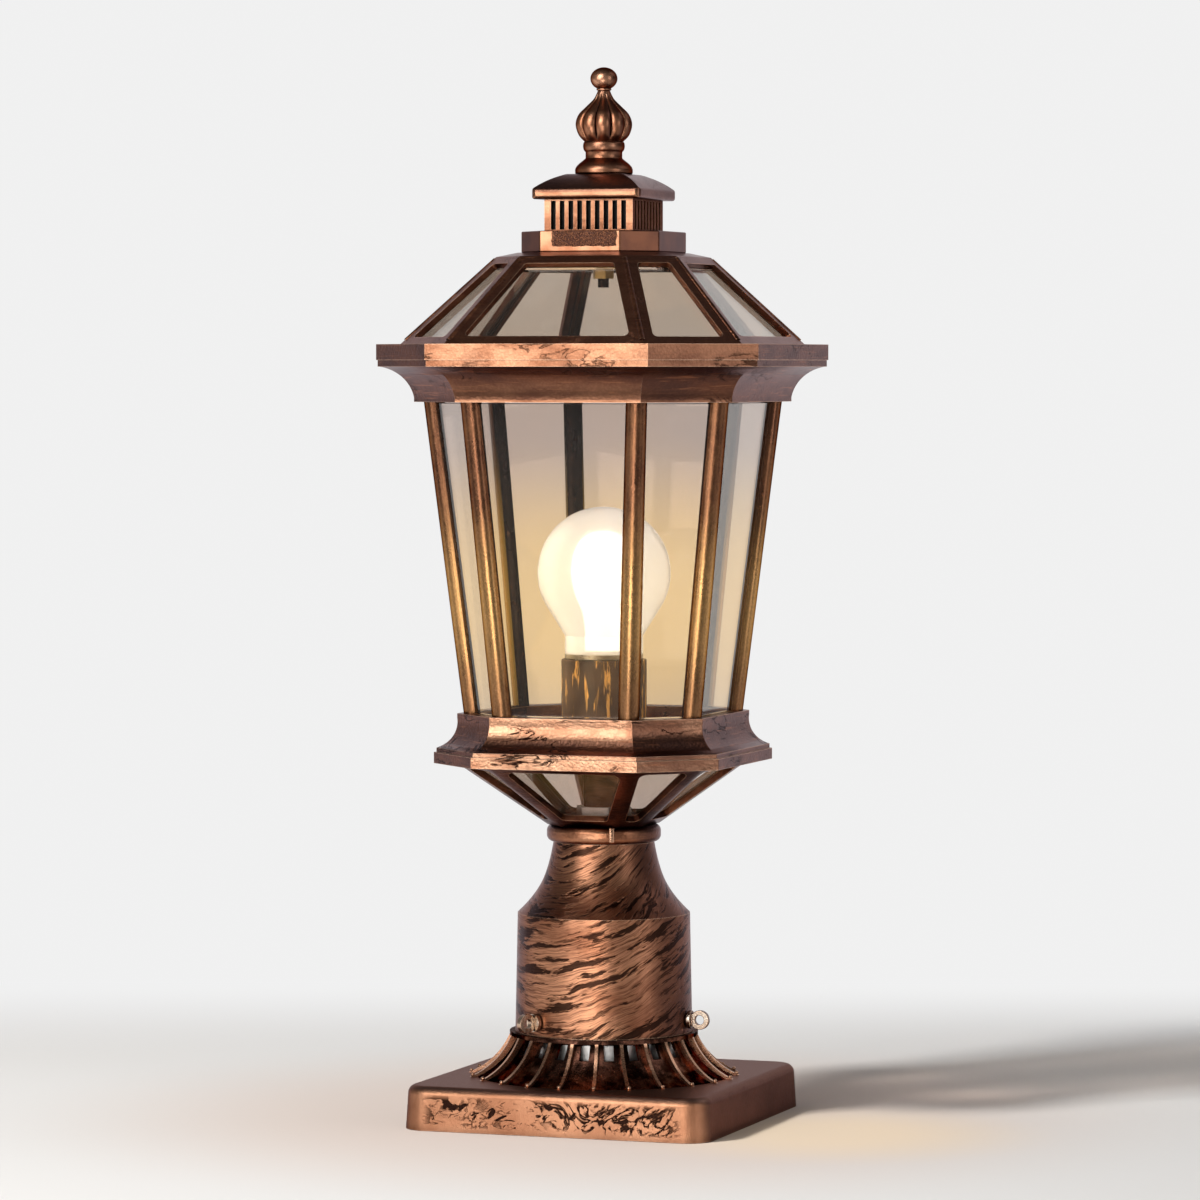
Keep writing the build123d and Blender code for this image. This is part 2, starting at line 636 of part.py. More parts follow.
basket_sheets = [
    side_sheet(
        side,
        BASKET_INNER_FOOT,
        BASKET_INNER_RIM,
        edge=PANE_HIP_GAP,
        foot=BASKET_PANE_FOOT,
        head=PANE_END_GAP,
        inward=BASKET_PANE_THICKNESS,
    )
    for side in SIDES
]
with BuildPart() as basket_panes:
    add(basket_sheets)
    split(bisect_by=Plane.XY.offset(BASKET_RIM_Z - PANE_END_GAP), keep=Keep.BOTTOM)
keep(basket_panes.part, "basket_panes")

# Body panes between the post axes, and the posts with a groove for each pane
body_panes = [
    side_sheet(
        side,
        POST_FOOT_AXIS,
        POST_HEAD_AXIS,
        edge=PANE_GROOVE,
        foot=PANE_END_GAP,
        head=PANE_END_GAP,
        inward=PANE_THICKNESS / 2,
        outward=PANE_THICKNESS / 2,
    )
    for side in SIDES
]
for index, pane in enumerate(body_panes):
    keep(pane, f"body_pane_{side_name(index)}")

for number, azimuth in enumerate(CORNERS, 1):
    with BuildPart() as cage_post:
        for radius, height in (POST_FOOT_AXIS, POST_HEAD_AXIS):
            with BuildSketch(Plane(origin=(*compass(azimuth, radius), height))):
                Circle(POST_R)
        loft()
        add(body_panes, mode=Mode.SUBTRACT)
        for (radius, height), up in ((POST_FOOT_AXIS, 1), (POST_HEAD_AXIS, -1)):
            with BuildSketch(Plane(origin=(*compass(azimuth, radius), height))):
                Circle(CAGE_SCREW_R + SCREW_PLAY)
            extrude(amount=up * CAGE_SCREW_LENGTH, mode=Mode.SUBTRACT)
    keep(cage_post.part, f"cage_post_{number}")

# Lower ring: band, groove and a hollow moulding that narrows upward
GROOVE_LOW = LOWER_BAND_TOP - LOWER_BEAD_HEIGHT
GROOVE_R = LOWER_BAND_R - LOWER_BEAD
LOWER_COVE_TOP = LOWER_TOP - LOWER_BEAD_HEIGHT
lower_outside = moulding(
    [
        (LOWER_BAND_R, BASKET_RIM_Z),
        (LOWER_BAND_R, GROOVE_LOW),
        (GROOVE_R, GROOVE_LOW),
        (GROOVE_R, LOWER_BAND_TOP),
        (
            LOWER_TOP_R,
            LOWER_COVE_TOP,
            (0.7 * LOWER_TOP_R + 0.3 * GROOVE_R, 0.7 * LOWER_BAND_TOP + 0.3 * LOWER_COVE_TOP),
        ),
        (LOWER_TOP_R, LOWER_TOP),
    ]
)
lower_hole = frustum((LOWER_HOLE_R, BASKET_RIM_Z), (LOWER_HOLE_R, LOWER_TOP))
with BuildPart() as lower_ring:
    add(lower_outside)
    add(lower_hole, mode=Mode.SUBTRACT)
    for azimuth in CORNERS:
        with BuildSketch(Plane(origin=(*compass(azimuth, POST_FOOT_AXIS[0]), BASKET_RIM_Z))):
            Circle(CAGE_HEAD_R + SCREW_PLAY)
        extrude(amount=LOWER_TOP - CAGE_RING_GRIP - BASKET_RIM_Z, mode=Mode.SUBTRACT)
        with BuildSketch(Plane(origin=(*compass(azimuth, POST_FOOT_AXIS[0]), BASKET_RIM_Z))):
            Circle(CAGE_SCREW_R + SCREW_PLAY)
        extrude(amount=LOWER_TOP - BASKET_RIM_Z, mode=Mode.SUBTRACT)
keep(lower_ring.part, "lower_ring")

# Crown ring: hollow moulding that widens upward, lip and fascia, with a seat for the roof
COVE_LOW = CROWN_FOOT + LOWER_BEAD_HEIGHT
LIP_R = CROWN_R - CROWN_LIP_STEP
COVE_R = LIP_R - CROWN_LIP_STEP
crown_outside = moulding(
    [
        (CROWN_FOOT_R, CROWN_FOOT),
        (CROWN_FOOT_R, COVE_LOW),
        (COVE_R, CROWN_LIP_Z, (0.66 * CROWN_FOOT_R + 0.34 * COVE_R, 0.34 * COVE_LOW + 0.66 * CROWN_LIP_Z)),
        (LIP_R, CROWN_LIP_Z),
        (LIP_R, CROWN_LIP_Z + CROWN_LIP_HEIGHT),
        (CROWN_R, CROWN_LIP_Z + CROWN_LIP_HEIGHT),
        (CROWN_R, CROWN_TOP),
    ]
)
CROWN_DECK_TOP = CROWN_FOOT + CROWN_DECK
ROOF_RECESS_R = ROOF_FOOT_R + ROOF_SEAT_PLAY
crown_hole = frustum((CROWN_HOLE_R, CROWN_FOOT), (CROWN_HOLE_R, CROWN_DECK_TOP))
crown_bore = frustum((CROWN_BORE_R, CROWN_DECK_TOP), (CROWN_BORE_R, CROWN_TOP))
crown_seat = frustum((ROOF_RECESS_R, ROOF_SEAT), (ROOF_RECESS_R, CROWN_TOP))
with BuildPart() as crown_ring:
    add(crown_outside)
    add([crown_hole, crown_bore, crown_seat], mode=Mode.SUBTRACT)
    for azimuth in CORNERS:
        with BuildSketch(Plane(origin=(*compass(azimuth, POST_HEAD_AXIS[0]), CROWN_FOOT))):
            Circle(CAGE_SCREW_R + SCREW_PLAY)
        extrude(amount=CROWN_DECK, mode=Mode.SUBTRACT)
keep(crown_ring.part, "crown_ring")

# Screws through the two rings into the ends of the posts
LOWER_SCREW = (POST_FOOT_AXIS[0], LOWER_TOP - CAGE_RING_GRIP, 1)
CROWN_SCREW = (POST_HEAD_AXIS[0], CROWN_DECK_TOP, -1)
with BuildPart() as cage_screws:
    for azimuth in CORNERS:
        for radius, seat, up in (LOWER_SCREW, CROWN_SCREW):
            with BuildSketch(Plane(origin=(*compass(azimuth, radius), seat))):
                Circle(CAGE_SCREW_R)
            extrude(amount=up * CAGE_SCREW_LENGTH)
            with BuildSketch(Plane(origin=(*compass(azimuth, radius), seat))):
                Circle(CAGE_HEAD_R)
            extrude(amount=-up * CAGE_HEAD_HEIGHT)
keep(cage_screws.part, "cage_screws")

# Roof: glazed frame that lifts off the crown, its panes under the bars
ROOF_FOOT = (ROOF_FOOT_R, ROOF_SEAT)
ROOF_BEND = (ROOF_BEND_R, ROOF_BEND_Z)
ROOF_INNER_FOOT = (ROOF_FOOT_R, ROOF_SEAT - ROOF_SHELL_DROP)
ROOF_INNER_BEND = (ROOF_BEND_R, ROOF_BEND_Z - ROOF_SHELL_DROP)
roof_outside = frustum(ROOF_FOOT, ROOF_BEND)
roof_shoulder = frustum(ROOF_BEND, (ROOF_SHOULDER_R, ROOF_TOP))
roof_inside = frustum(ROOF_INNER_FOOT, ROOF_INNER_BEND)
roof_mouth = frustum((ROOF_MOUTH_R, ROOF_INNER_BEND[1]), (ROOF_MOUTH_R, ROOF_TOP))
roof_windows = [
    side_sheet(
        side,
        ROOF_FOOT,
        ROOF_BEND,
        edge=ROOF_BAR / 2,
        foot=ROOF_WINDOW_FOOT,
        head=ROOF_WINDOW_HEAD,
        inward=2 * ROOF_SHELL_DROP,
        outward=ROOF_SHELL_DROP,
        corner=ROOF_WINDOW_CORNER,
    )
    for side in SIDES
]
with BuildPart() as roof_frame:
    add([roof_outside, roof_shoulder])
    add([roof_inside, roof_mouth], mode=Mode.SUBTRACT)
    add(roof_windows, mode=Mode.SUBTRACT)
keep(roof_frame.part, "roof_frame")

for index, side in enumerate(SIDES):
    roof_pane = side_sheet(
        side,
        ROOF_INNER_FOOT,
        ROOF_INNER_BEND,
        edge=PANE_HIP_GAP,
        foot=ROOF_PANE_FOOT,
        head=ROOF_PANE_HEAD,
        inward=ROOF_PANE_THICKNESS,
    )
    keep(roof_pane, f"roof_pane_{side_name(index)}")

# Collar under the vent box, open below, with a square mouth in its top
VENT_COLLAR_CEILING = VENT_COLLAR_TOP - VENT_COLLAR_WALL / 2
collar_outside = frustum((VENT_COLLAR_R, ROOF_TOP), (VENT_COLLAR_R, VENT_COLLAR_TOP))
collar_inside_r = VENT_COLLAR_R - VENT_COLLAR_WALL
collar_inside = frustum((collar_inside_r, ROOF_TOP), (collar_inside_r, VENT_COLLAR_CEILING))
with BuildPart() as vent_collar:
    add(collar_outside)
    add(collar_inside, mode=Mode.SUBTRACT)
    with BuildSketch(Plane.XY.offset(ROOF_TOP)):
        Rectangle(2 * VENT_MOUTH_HALF, 2 * VENT_MOUTH_HALF)
    extrude(amount=VENT_COLLAR_TOP - ROOF_TOP, mode=Mode.SUBTRACT)
keep(vent_collar.part, "vent_collar")

# Vent box: square tube with upright slots between slats
VENT_SPAN = 2 * (VENT_HALF - VENT_POST)
VENT_GAP = (VENT_SPAN - (VENT_SLOTS - 1) * VENT_SLAT) / VENT_SLOTS
VENT_PITCH = VENT_GAP + VENT_SLAT
VENT_SLOT_HEIGHT = VENT_TOP - VENT_COLLAR_TOP - 2 * VENT_RAIL
with BuildPart() as vent_box:
    with BuildSketch(Plane.XY.offset(VENT_COLLAR_TOP)):
        Rectangle(2 * VENT_HALF, 2 * VENT_HALF)
        Rectangle(2 * (VENT_HALF - VENT_WALL), 2 * (VENT_HALF - VENT_WALL), mode=Mode.SUBTRACT)
    extrude(amount=VENT_TOP - VENT_COLLAR_TOP)
    with Locations((0, 0, (VENT_COLLAR_TOP + VENT_TOP) / 2)):
        with GridLocations(VENT_PITCH, 1, VENT_SLOTS, 1):
            Box(VENT_GAP, 3 * VENT_HALF, VENT_SLOT_HEIGHT, mode=Mode.SUBTRACT)
        with GridLocations(1, VENT_PITCH, 1, VENT_SLOTS):
            Box(3 * VENT_HALF, VENT_GAP, VENT_SLOT_HEIGHT, mode=Mode.SUBTRACT)
keep(vent_box.part, "vent_box")

# Vent cap: square dome with a thick rounded edge
CAP_FLAT_HALF = FINIAL_FOOT_R + ROD_PLAY
CAP_BULGE_POINT = ((CAP_HALF + CAP_FLAT_HALF) / 2 + CAP_BULGE / 2, (CAP_EDGE_TOP + CAP_TOP) / 2 + CAP_BULGE)
with BuildPart() as vent_cap:
    with BuildSketch(Plane.XY.offset(VENT_TOP)):
        RectangleRounded(2 * CAP_HALF, 2 * CAP_HALF, CAP_CORNER)
    extrude(amount=CAP_TOP - VENT_TOP)
    for azimuth in (0, 90):
        with BuildSketch(upright(azimuth)) as cap_side:
            with BuildLine():
                Line((0, VENT_TOP), (CAP_HALF, VENT_TOP))
                Line((CAP_HALF, VENT_TOP), (CAP_HALF, CAP_EDGE_TOP))
                ThreePointArc((CAP_HALF, CAP_EDGE_TOP), CAP_BULGE_POINT, (CAP_FLAT_HALF, CAP_TOP))
                Line((CAP_FLAT_HALF, CAP_TOP), (0, CAP_TOP))
                Line((0, CAP_TOP), (0, VENT_TOP))
            make_face()
            fillet(cap_side.vertices().group_by(Axis.X)[-1], CAP_EDGE_ROUND)
            mirror(about=Plane.YZ)
        extrude(amount=2 * CAP_HALF, both=True, mode=Mode.INTERSECT)
    with BuildSketch(Plane.XY.offset(VENT_TOP)):
        Circle(ROD_R + ROD_PLAY)
    extrude(amount=CAP_TOP - VENT_TOP, mode=Mode.SUBTRACT)
keep(vent_cap.part, "vent_cap")

# Roof rod, the bridge strap under the roof's shoulder and the nut under it
BRIDGE_TOP = ROOF_INNER_BEND[1]
BRIDGE_FOOT = BRIDGE_TOP - BRIDGE_THICKNESS
ROD_FOOT = BRIDGE_FOOT - 2 * ROD_NUT_HEIGHT
BRIDGE_LENGTH = 2 * WIDE_SHARE * ROOF_SHOULDER_R
with BuildPart() as roof_bridge:
    with BuildSketch(Plane.XY.offset(BRIDGE_FOOT)):
        Rectangle(BRIDGE_LENGTH, 2 * BRIDGE_HALF_WIDTH)
        Circle(ROD_R + ROD_PLAY, mode=Mode.SUBTRACT)
    extrude(amount=BRIDGE_THICKNESS)
keep(roof_bridge.part, "roof_bridge")

with BuildPart() as roof_rod:
    with BuildSketch(Plane.XY.offset(ROD_FOOT)):
        Circle(ROD_R)
    extrude(amount=ROD_TOP - ROD_FOOT)
keep(roof_rod.part, "roof_rod")

with BuildPart() as rod_nut:
    with BuildSketch(Plane.XY.offset(BRIDGE_FOOT)):
        RegularPolygon(ROD_NUT_R, 6)
        Circle(ROD_R, mode=Mode.SUBTRACT)
    extrude(amount=-ROD_NUT_HEIGHT)
keep(rod_nut.part, "rod_nut")

# Finial: turned foot, rings, fluted onion and ball, screwed on the rod
FINIAL_BORE_R = ROD_R + ROD_PLAY
FINIAL_BORE_TOP = ROD_TOP + ROD_END_GAP
FINIAL_FOOT_TOP = CAP_TOP + FINIAL_FOOT_EDGE
FOOT_BULGE = (
    FINIAL_RING_R + 0.65 * (FINIAL_FOOT_R - FINIAL_RING_R),
    FINIAL_FOOT_TOP + 0.55 * (FINIAL_RING_LOW - FINIAL_FOOT_TOP),
)
BALL_RING_TOP = ONION_HIGH + BALL_RING_HEIGHT
BALL_CENTRE = BALL_RING_TOP + BALL_HALF_HEIGHT * sin(radians(BALL_FOOT_ANGLE))
ball_line = [
    (BALL_R * cos(radians(turn)), BALL_CENTRE + BALL_HALF_HEIGHT * sin(radians(turn)))
    for turn in (-BALL_FOOT_ANGLE, -BALL_FOOT_ANGLE / 2, 0, 30, 60)
]
ball_line.append((0, BALL_CENTRE + BALL_HALF_HEIGHT))
ONION_CURVE = ((0.87, 0.52), (0.53, 0.68), (0.19, 0.836))
onion_line = [(ONION_LOW_R, ONION_LOW), (ONION_R, ONION_LOW + ONION_BELLY_RISE)]
for across, up in ONION_CURVE:
    onion_line.append(
        (ONION_HIGH_R + across * (ONION_R - ONION_HIGH_R), ONION_LOW + up * ONION_HEIGHT)
    )
onion_line.append((ONION_HIGH_R, ONION_HIGH))
FLUTE_OUT = FLUTE_R - FLUTE_DEPTH
flute_line = [(radius + FLUTE_OUT, height) for radius, height in onion_line[:2]]
for radius, height in onion_line[2:-1]:
    flute_line.append((radius + FLUTE_LEAN * FLUTE_OUT, height + FLUTE_LEAN * FLUTE_OUT))
with BuildPart() as flute:
    with BuildLine(Plane.XZ) as flute_path:
        Spline(*flute_line)
    with BuildSketch(Plane(origin=flute_path.line @ 0, z_dir=flute_path.line % 0)):
        Circle(FLUTE_R)
    sweep()

with BuildPart() as finial:
    with BuildSketch(Plane.XZ):
        with BuildLine():
            Polyline((FINIAL_BORE_R, CAP_TOP), (FINIAL_FOOT_R, CAP_TOP), (FINIAL_FOOT_R, FINIAL_FOOT_TOP))
            ThreePointArc(
                (FINIAL_FOOT_R, FINIAL_FOOT_TOP),
                FOOT_BULGE,
                (FINIAL_RING_R, FINIAL_RING_LOW),
            )
            Line((FINIAL_RING_R, FINIAL_RING_LOW), (FINIAL_RING_R, FINIAL_BEAD_LOW))
            ThreePointArc(
                (FINIAL_RING_R, FINIAL_BEAD_LOW),
                (FINIAL_BEAD_R, (FINIAL_BEAD_LOW + ONION_LOW) / 2),
                (ONION_LOW_R, ONION_LOW),
            )
            Spline(*onion_line)
            Polyline(
                onion_line[-1],
                (BALL_RING_R, ONION_HIGH),
                (BALL_RING_R, BALL_RING_TOP),
                ball_line[0],
            )
            Spline(*ball_line)
            Polyline(
                ball_line[-1],
                (0, FINIAL_BORE_TOP),
                (FINIAL_BORE_R, FINIAL_BORE_TOP),
                (FINIAL_BORE_R, CAP_TOP),
            )
        make_face()
    revolve(axis=Axis.Z)
    with PolarLocations(0, ONION_FLUTES, start_angle=180 / ONION_FLUTES):
        add(flute.part, mode=Mode.SUBTRACT)
keep(finial.part, "finial")

# Lampholder: cup on the stem with insulator, screw shell and centre contact
INSULATOR_TOP = STEM_TOP + INSULATOR_HEIGHT
with BuildPart() as lampholder:
    with BuildSketch(Plane.XY.offset(HOLDER_FOOT)):
        Circle(HOLDER_R)
        Circle(STEM_HOLE_R, mode=Mode.SUBTRACT)
    extrude(amount=HOLDER_TOP - HOLDER_FOOT)
    with BuildSketch(Plane.XY.offset(STEM_TOP)):
        Circle(HOLDER_BORE_R)
    extrude(amount=HOLDER_TOP - STEM_TOP, mode=Mode.SUBTRACT)
keep(lampholder.part, "lampholder")

with BuildPart() as socket_insulator:
    with BuildSketch(Plane.XY.offset(STEM_TOP)):
        Circle(HOLDER_BORE_R - SCREW_PLAY)
    extrude(amount=INSULATOR_HEIGHT)
keep(socket_insulator.part, "socket_insulator")

with BuildPart() as socket_shell:
    with BuildSketch(Plane.XY.offset(INSULATOR_TOP)):
        Circle(SHELL_R)
        Circle(SHELL_R - SHELL_WALL, mode=Mode.SUBTRACT)
    extrude(amount=HOLDER_TOP - SHELL_RECESS - INSULATOR_TOP)
keep(socket_shell.part, "socket_shell")

with BuildPart() as centre_contact:
    with BuildSketch(Plane.XY.offset(INSULATOR_TOP)):
        Circle(CONTACT_R)
    extrude(amount=CONTACT_HEIGHT)
keep(centre_contact.part, "centre_contact")

# Bulb: contact button, screw cap with a flange, light board and glass
BULB_FOOT = INSULATOR_TOP + CONTACT_HEIGHT + BULB_GAP
BULB_CAP_FOOT = BULB_FOOT + BULB_FLANGE_HEIGHT
BULB_FLANGE_FOOT = HOLDER_TOP + BULB_GAP
BULB_FLANGE_TOP = BULB_FLANGE_FOOT + BULB_FLANGE_HEIGHT
BULB_CAP_BORE_R = BULB_CAP_R - BULB_WALL
BULB_NECK_TOP = BULB_FLANGE_TOP + BULB_NECK_HEIGHT
BULB_WIDEST = BULB_FLANGE_TOP + BULB_RISE


def bulb_shape(inset):
    """Bulb above its flange, drawn in by an inset all round."""
    radius = BULB_R - inset
    neck = BULB_FLANGE_R - inset
    turn = radians(BULB_NECK_ANGLE)
    joint = (radius * cos(turn), BULB_WIDEST - radius * sin(turn))
    with BuildPart(mode=Mode.PRIVATE) as made:
        with BuildSketch(Plane.XZ):
            with BuildLine():
                Line((0, BULB_FLANGE_TOP), (neck, BULB_FLANGE_TOP))
                Line((neck, BULB_FLANGE_TOP), (neck, BULB_NECK_TOP))
                Line((neck, BULB_NECK_TOP), joint)
                ThreePointArc(joint, (radius, BULB_WIDEST), (0, BULB_WIDEST + radius))
                Line((0, BULB_WIDEST + radius), (0, BULB_FLANGE_TOP))
            make_face()
        revolve(axis=Axis.Z)
    return made.part


bulb_outside = bulb_shape(0)
bulb_inside = bulb_shape(BULB_WALL)
with BuildPart() as bulb_glass:
    add(bulb_outside)
    add(bulb_inside, mode=Mode.SUBTRACT)
keep(bulb_glass.part, "bulb_glass")

with BuildPart() as bulb_cap:
    with BuildSketch(Plane.XY.offset(BULB_CAP_FOOT)):
        Circle(BULB_CAP_R)
    extrude(amount=BULB_FLANGE_FOOT - BULB_CAP_FOOT)
    with BuildSketch(Plane.XY.offset(BULB_FLANGE_FOOT)):
        Circle(BULB_FLANGE_R)
    extrude(amount=BULB_FLANGE_HEIGHT)
    with BuildSketch(Plane.XY.offset(BULB_CAP_FOOT + BULB_FLANGE_HEIGHT)):
        Circle(BULB_CAP_BORE_R)
    extrude(amount=BULB_FLANGE_TOP, mode=Mode.SUBTRACT)
keep(bulb_cap.part, "bulb_cap")

with BuildPart() as bulb_contact:
    with BuildSketch(Plane.XY.offset(BULB_FOOT)):
        Circle(BULB_TIP_R)
    extrude(amount=BULB_FLANGE_HEIGHT)
keep(bulb_contact.part, "bulb_contact")

with BuildPart() as light_board:
    with BuildSketch(Plane.XY.offset(BULB_FLANGE_TOP)):
        Circle(BULB_FLANGE_R - BULB_WALL - LIGHT_BOARD_GAP)
    extrude(amount=LIGHT_BOARD_THICKNESS)
keep(light_board.part, "light_board")

# Battery pack hung from the stem inside the stub: tray, cells, controller board and lamp leads
CELL_TOP = STEM_FOOT - TRAY_DROP
CELL_FOOT = CELL_TOP - CELL_LENGTH
TRAY_REAR = TRAY_BACK + TRAY_WALL
LUG_TOP = LUG_FOOT + LUG_THICKNESS
with BuildPart() as battery_tray:
    for foot in (CELL_FOOT - TRAY_WALL, CELL_TOP):
        with BuildSketch(Plane.XY.offset(foot)):
            with Locations((0, -TRAY_FRONT)):
                Rectangle(2 * TRAY_HALF_WIDTH, TRAY_FRONT + TRAY_REAR, align=(Align.CENTER, Align.MIN))
        extrude(amount=TRAY_WALL)
    with BuildSketch(Plane.XZ.offset(-TRAY_BACK)):
        with Locations((0, CELL_FOOT)):
            Rectangle(2 * TRAY_HALF_WIDTH, CELL_LENGTH, align=(Align.CENTER, Align.MIN))
            Rectangle(2 * STRAP_HALF_WIDTH, LUG_TOP - CELL_FOOT, align=(Align.CENTER, Align.MIN))
    extrude(amount=-TRAY_WALL)
    with BuildSketch(Plane.XY.offset(LUG_FOOT)):
        Circle(LUG_R)
        Rectangle(2 * STRAP_HALF_WIDTH, TRAY_REAR, align=(Align.CENTER, Align.MIN))
        Circle(STEM_HOLE_R, mode=Mode.SUBTRACT)
    extrude(amount=LUG_THICKNESS)
keep(battery_tray.part, "battery_tray")

with BuildPart() as battery_cells:
    with BuildSketch(Plane.XY.offset(CELL_FOOT)):
        with GridLocations(2 * CELL_SPREAD, 1, 2, 1):
            Circle(CELL_R)
    extrude(amount=CELL_LENGTH)
keep(battery_cells.part, "battery_cells")

BOARD_REAR = TRAY_REAR + BOARD_THICKNESS
BOARD_FOOT = CELL_FOOT + BOARD_RISE
BOARD_TOP = BOARD_FOOT + BOARD_HEIGHT
with BuildPart() as controller_board:
    with BuildSketch(Plane.XZ.offset(-TRAY_REAR)):
        with Locations((0, BOARD_FOOT)):
            Rectangle(2 * BOARD_HALF_WIDTH, BOARD_HEIGHT, align=(Align.CENTER, Align.MIN))
    extrude(amount=-BOARD_THICKNESS)
    with Locations((PLUG_SPREAD, BOARD_REAR, BOARD_TOP), (-PLUG_SPREAD, BOARD_REAR, BOARD_TOP)):
        Box(*PLUG_SIZE, align=(Align.CENTER, Align.MIN, Align.MAX))
keep(controller_board.part, "controller_board")

LEAD_DEPTH = BOARD_REAR + PLUG_SIZE[1] / 2
LEAD_LEVEL = STEM_FOOT - LEAD_DROP
with BuildPart() as lamp_leads:
    for hand in (1, -1):
        with BuildLine() as lead_path:
            FilletPolyline(
                (hand * PLUG_SPREAD, LEAD_DEPTH, BOARD_TOP),
                (hand * PLUG_SPREAD, LEAD_DEPTH, LEAD_LEVEL),
                (hand * LEAD_SPREAD, 0, LEAD_LEVEL),
                (hand * LEAD_SPREAD, 0, STEM_TOP),
                radius=LEAD_BEND,
            )
        with BuildSketch(Plane(origin=lead_path.line @ 0, z_dir=lead_path.line % 0)):
            Circle(LEAD_R)
        sweep(path=lead_path.line)
keep(lamp_leads.part, "lamp_leads")
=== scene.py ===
import json
from math import atan2, cos, hypot, pi, radians, sin, sqrt

import bmesh
import bpy
from mathutils import Matrix, Vector


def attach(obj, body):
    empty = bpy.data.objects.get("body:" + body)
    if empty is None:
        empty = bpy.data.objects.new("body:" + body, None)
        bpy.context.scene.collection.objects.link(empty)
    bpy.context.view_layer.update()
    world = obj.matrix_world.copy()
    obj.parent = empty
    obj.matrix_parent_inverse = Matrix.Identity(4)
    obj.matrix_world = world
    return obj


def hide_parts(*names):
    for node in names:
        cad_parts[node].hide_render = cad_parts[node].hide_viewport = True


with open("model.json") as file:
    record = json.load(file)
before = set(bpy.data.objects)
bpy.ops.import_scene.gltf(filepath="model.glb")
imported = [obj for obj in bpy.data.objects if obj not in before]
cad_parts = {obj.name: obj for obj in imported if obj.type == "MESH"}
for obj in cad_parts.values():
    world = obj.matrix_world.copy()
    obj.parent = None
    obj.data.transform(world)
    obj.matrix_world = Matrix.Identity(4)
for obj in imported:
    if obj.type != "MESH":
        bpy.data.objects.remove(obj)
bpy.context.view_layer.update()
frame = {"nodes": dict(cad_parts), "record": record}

# Dresses the lantern's solids: eased castings, the turned finial, the lit bulb, and every finish.
# Metres, +Z up, front towards -Y, as the solids are.
MM = 0.001
X, Y, Z = range(3)
BODY_OF = {
    node: body for body, nodes in frame["record"]["behaviour"]["bodies"].items() for node in nodes
}

# Colours, linear
COPPER_BRIGHT = (0.62, 0.31, 0.178, 1)
COPPER_WARM = (0.37, 0.150, 0.078, 1)
COPPER_BROWN = (0.165, 0.066, 0.040, 1)
COPPER_DEEP = (0.105, 0.048, 0.036, 1)
COPPER_DARK = (0.024, 0.010, 0.007, 1)
# Painted bulb light on the posts
BULB_LIT_GOLD = (0.72, 0.405, 0.155, 1)
# Edge wear brightened as a painted highlight
EDGE_WEAR_AND_HIGHLIGHT = (0.84, 0.53, 0.36, 1)
EDGE_SHEEN = (0.85, 0.78, 0.82, 1)
PANE_TINT = (0.745, 0.675, 0.635, 1)
# Painted amber of the bulb's glow in the panes
PANE_GLOW_TINT = (0.83, 0.725, 0.555, 1)
ROOF_TINT = (0.72, 0.655, 0.59, 1)
BACKDROP_WHITE = (0.875, 0.875, 0.875, 1)
NO_TINT = (1, 1, 1, 1)

# Places that the finishes follow; a pair is where a fade starts and ends
BULB_MIDDLE = 240 * MM
DIFFUSER_FOOT = 216 * MM
POST_LIT_BELOW = (190 * MM, 232 * MM)
POST_LIT_ABOVE = (BULB_MIDDLE, 290 * MM)
POST_INSIDE = (-30 * MM, 5 * MM)
PANE_GLOW = (56 * MM, 104 * MM)
BASE_MARKS_MIDDLE = 9 * MM
BASE_MARKS_RISE = (5.0 * MM, 7.5 * MM)
BASE_MARKS_REACH = (55 * MM, 63 * MM)
PANEL_MIDDLE = 403.6 * MM
PANEL_ASIDE = 2.2 * MM
PANEL_REACH = (14.4 * MM, 15.6 * MM)
PANEL_RISE = (3.9 * MM, 4.6 * MM)
STROKE_TURN = radians(58)
STROKE_SLANT = 21 * MM
STROKE_WANDER = 9 * MM
# The sides that painted light brightens on the copper face this turn from the front, and the opposite way
LIT_SIDE_TURN = radians(6)
BAND_SOFTNESS = 0.7 * MM


def at_turn(turn, reach, height=0.0):
    """Place at a reach from the lantern's axis, turned from the front, at a height."""
    return Vector((reach * sin(turn), -reach * cos(turn), height))


# Finishes: small steps that every finish is put together from

def start_finish(name):
    """A bare finish: its node tree, its object coordinates and its surface."""
    finish = bpy.data.materials.new(name)
    finish.use_nodes = True
    tree = finish.node_tree
    tree.nodes.clear()
    place = tree.nodes.new("ShaderNodeTexCoord").outputs["Object"]
    surface = tree.nodes.new("ShaderNodeBsdfPrincipled")
    output = tree.nodes.new("ShaderNodeOutputMaterial")
    tree.links.new(surface.outputs["BSDF"], output.inputs["Surface"])
    return finish, tree, place, surface


def feed(tree, socket, value):
    """Gives a socket a plain value, or a link if the value comes from a node."""
    if isinstance(value, bpy.types.NodeSocket):
        tree.links.new(value, socket)
    else:
        socket.default_value = value


def laid(tree, place, scale, turn=(0, 0, 0)):
    """Coordinates stretched and turned for a pattern that has a lie."""
    mapping = tree.nodes.new("ShaderNodeMapping")
    mapping.inputs["Scale"].default_value = scale
    mapping.inputs["Rotation"].default_value = turn
    tree.links.new(place, mapping.inputs["Vector"])
    return mapping.outputs["Vector"]


def cloud(tree, place, scale, detail, rough, twist=0.0):
    """Cloudy pattern from 0 to 1."""
    noise = tree.nodes.new("ShaderNodeTexNoise")
    tree.links.new(place, noise.inputs["Vector"])
    noise.inputs["Scale"].default_value = scale
    noise.inputs["Detail"].default_value = detail
    noise.inputs["Roughness"].default_value = rough
    noise.inputs["Distortion"].default_value = twist
    return noise.outputs["Fac"]


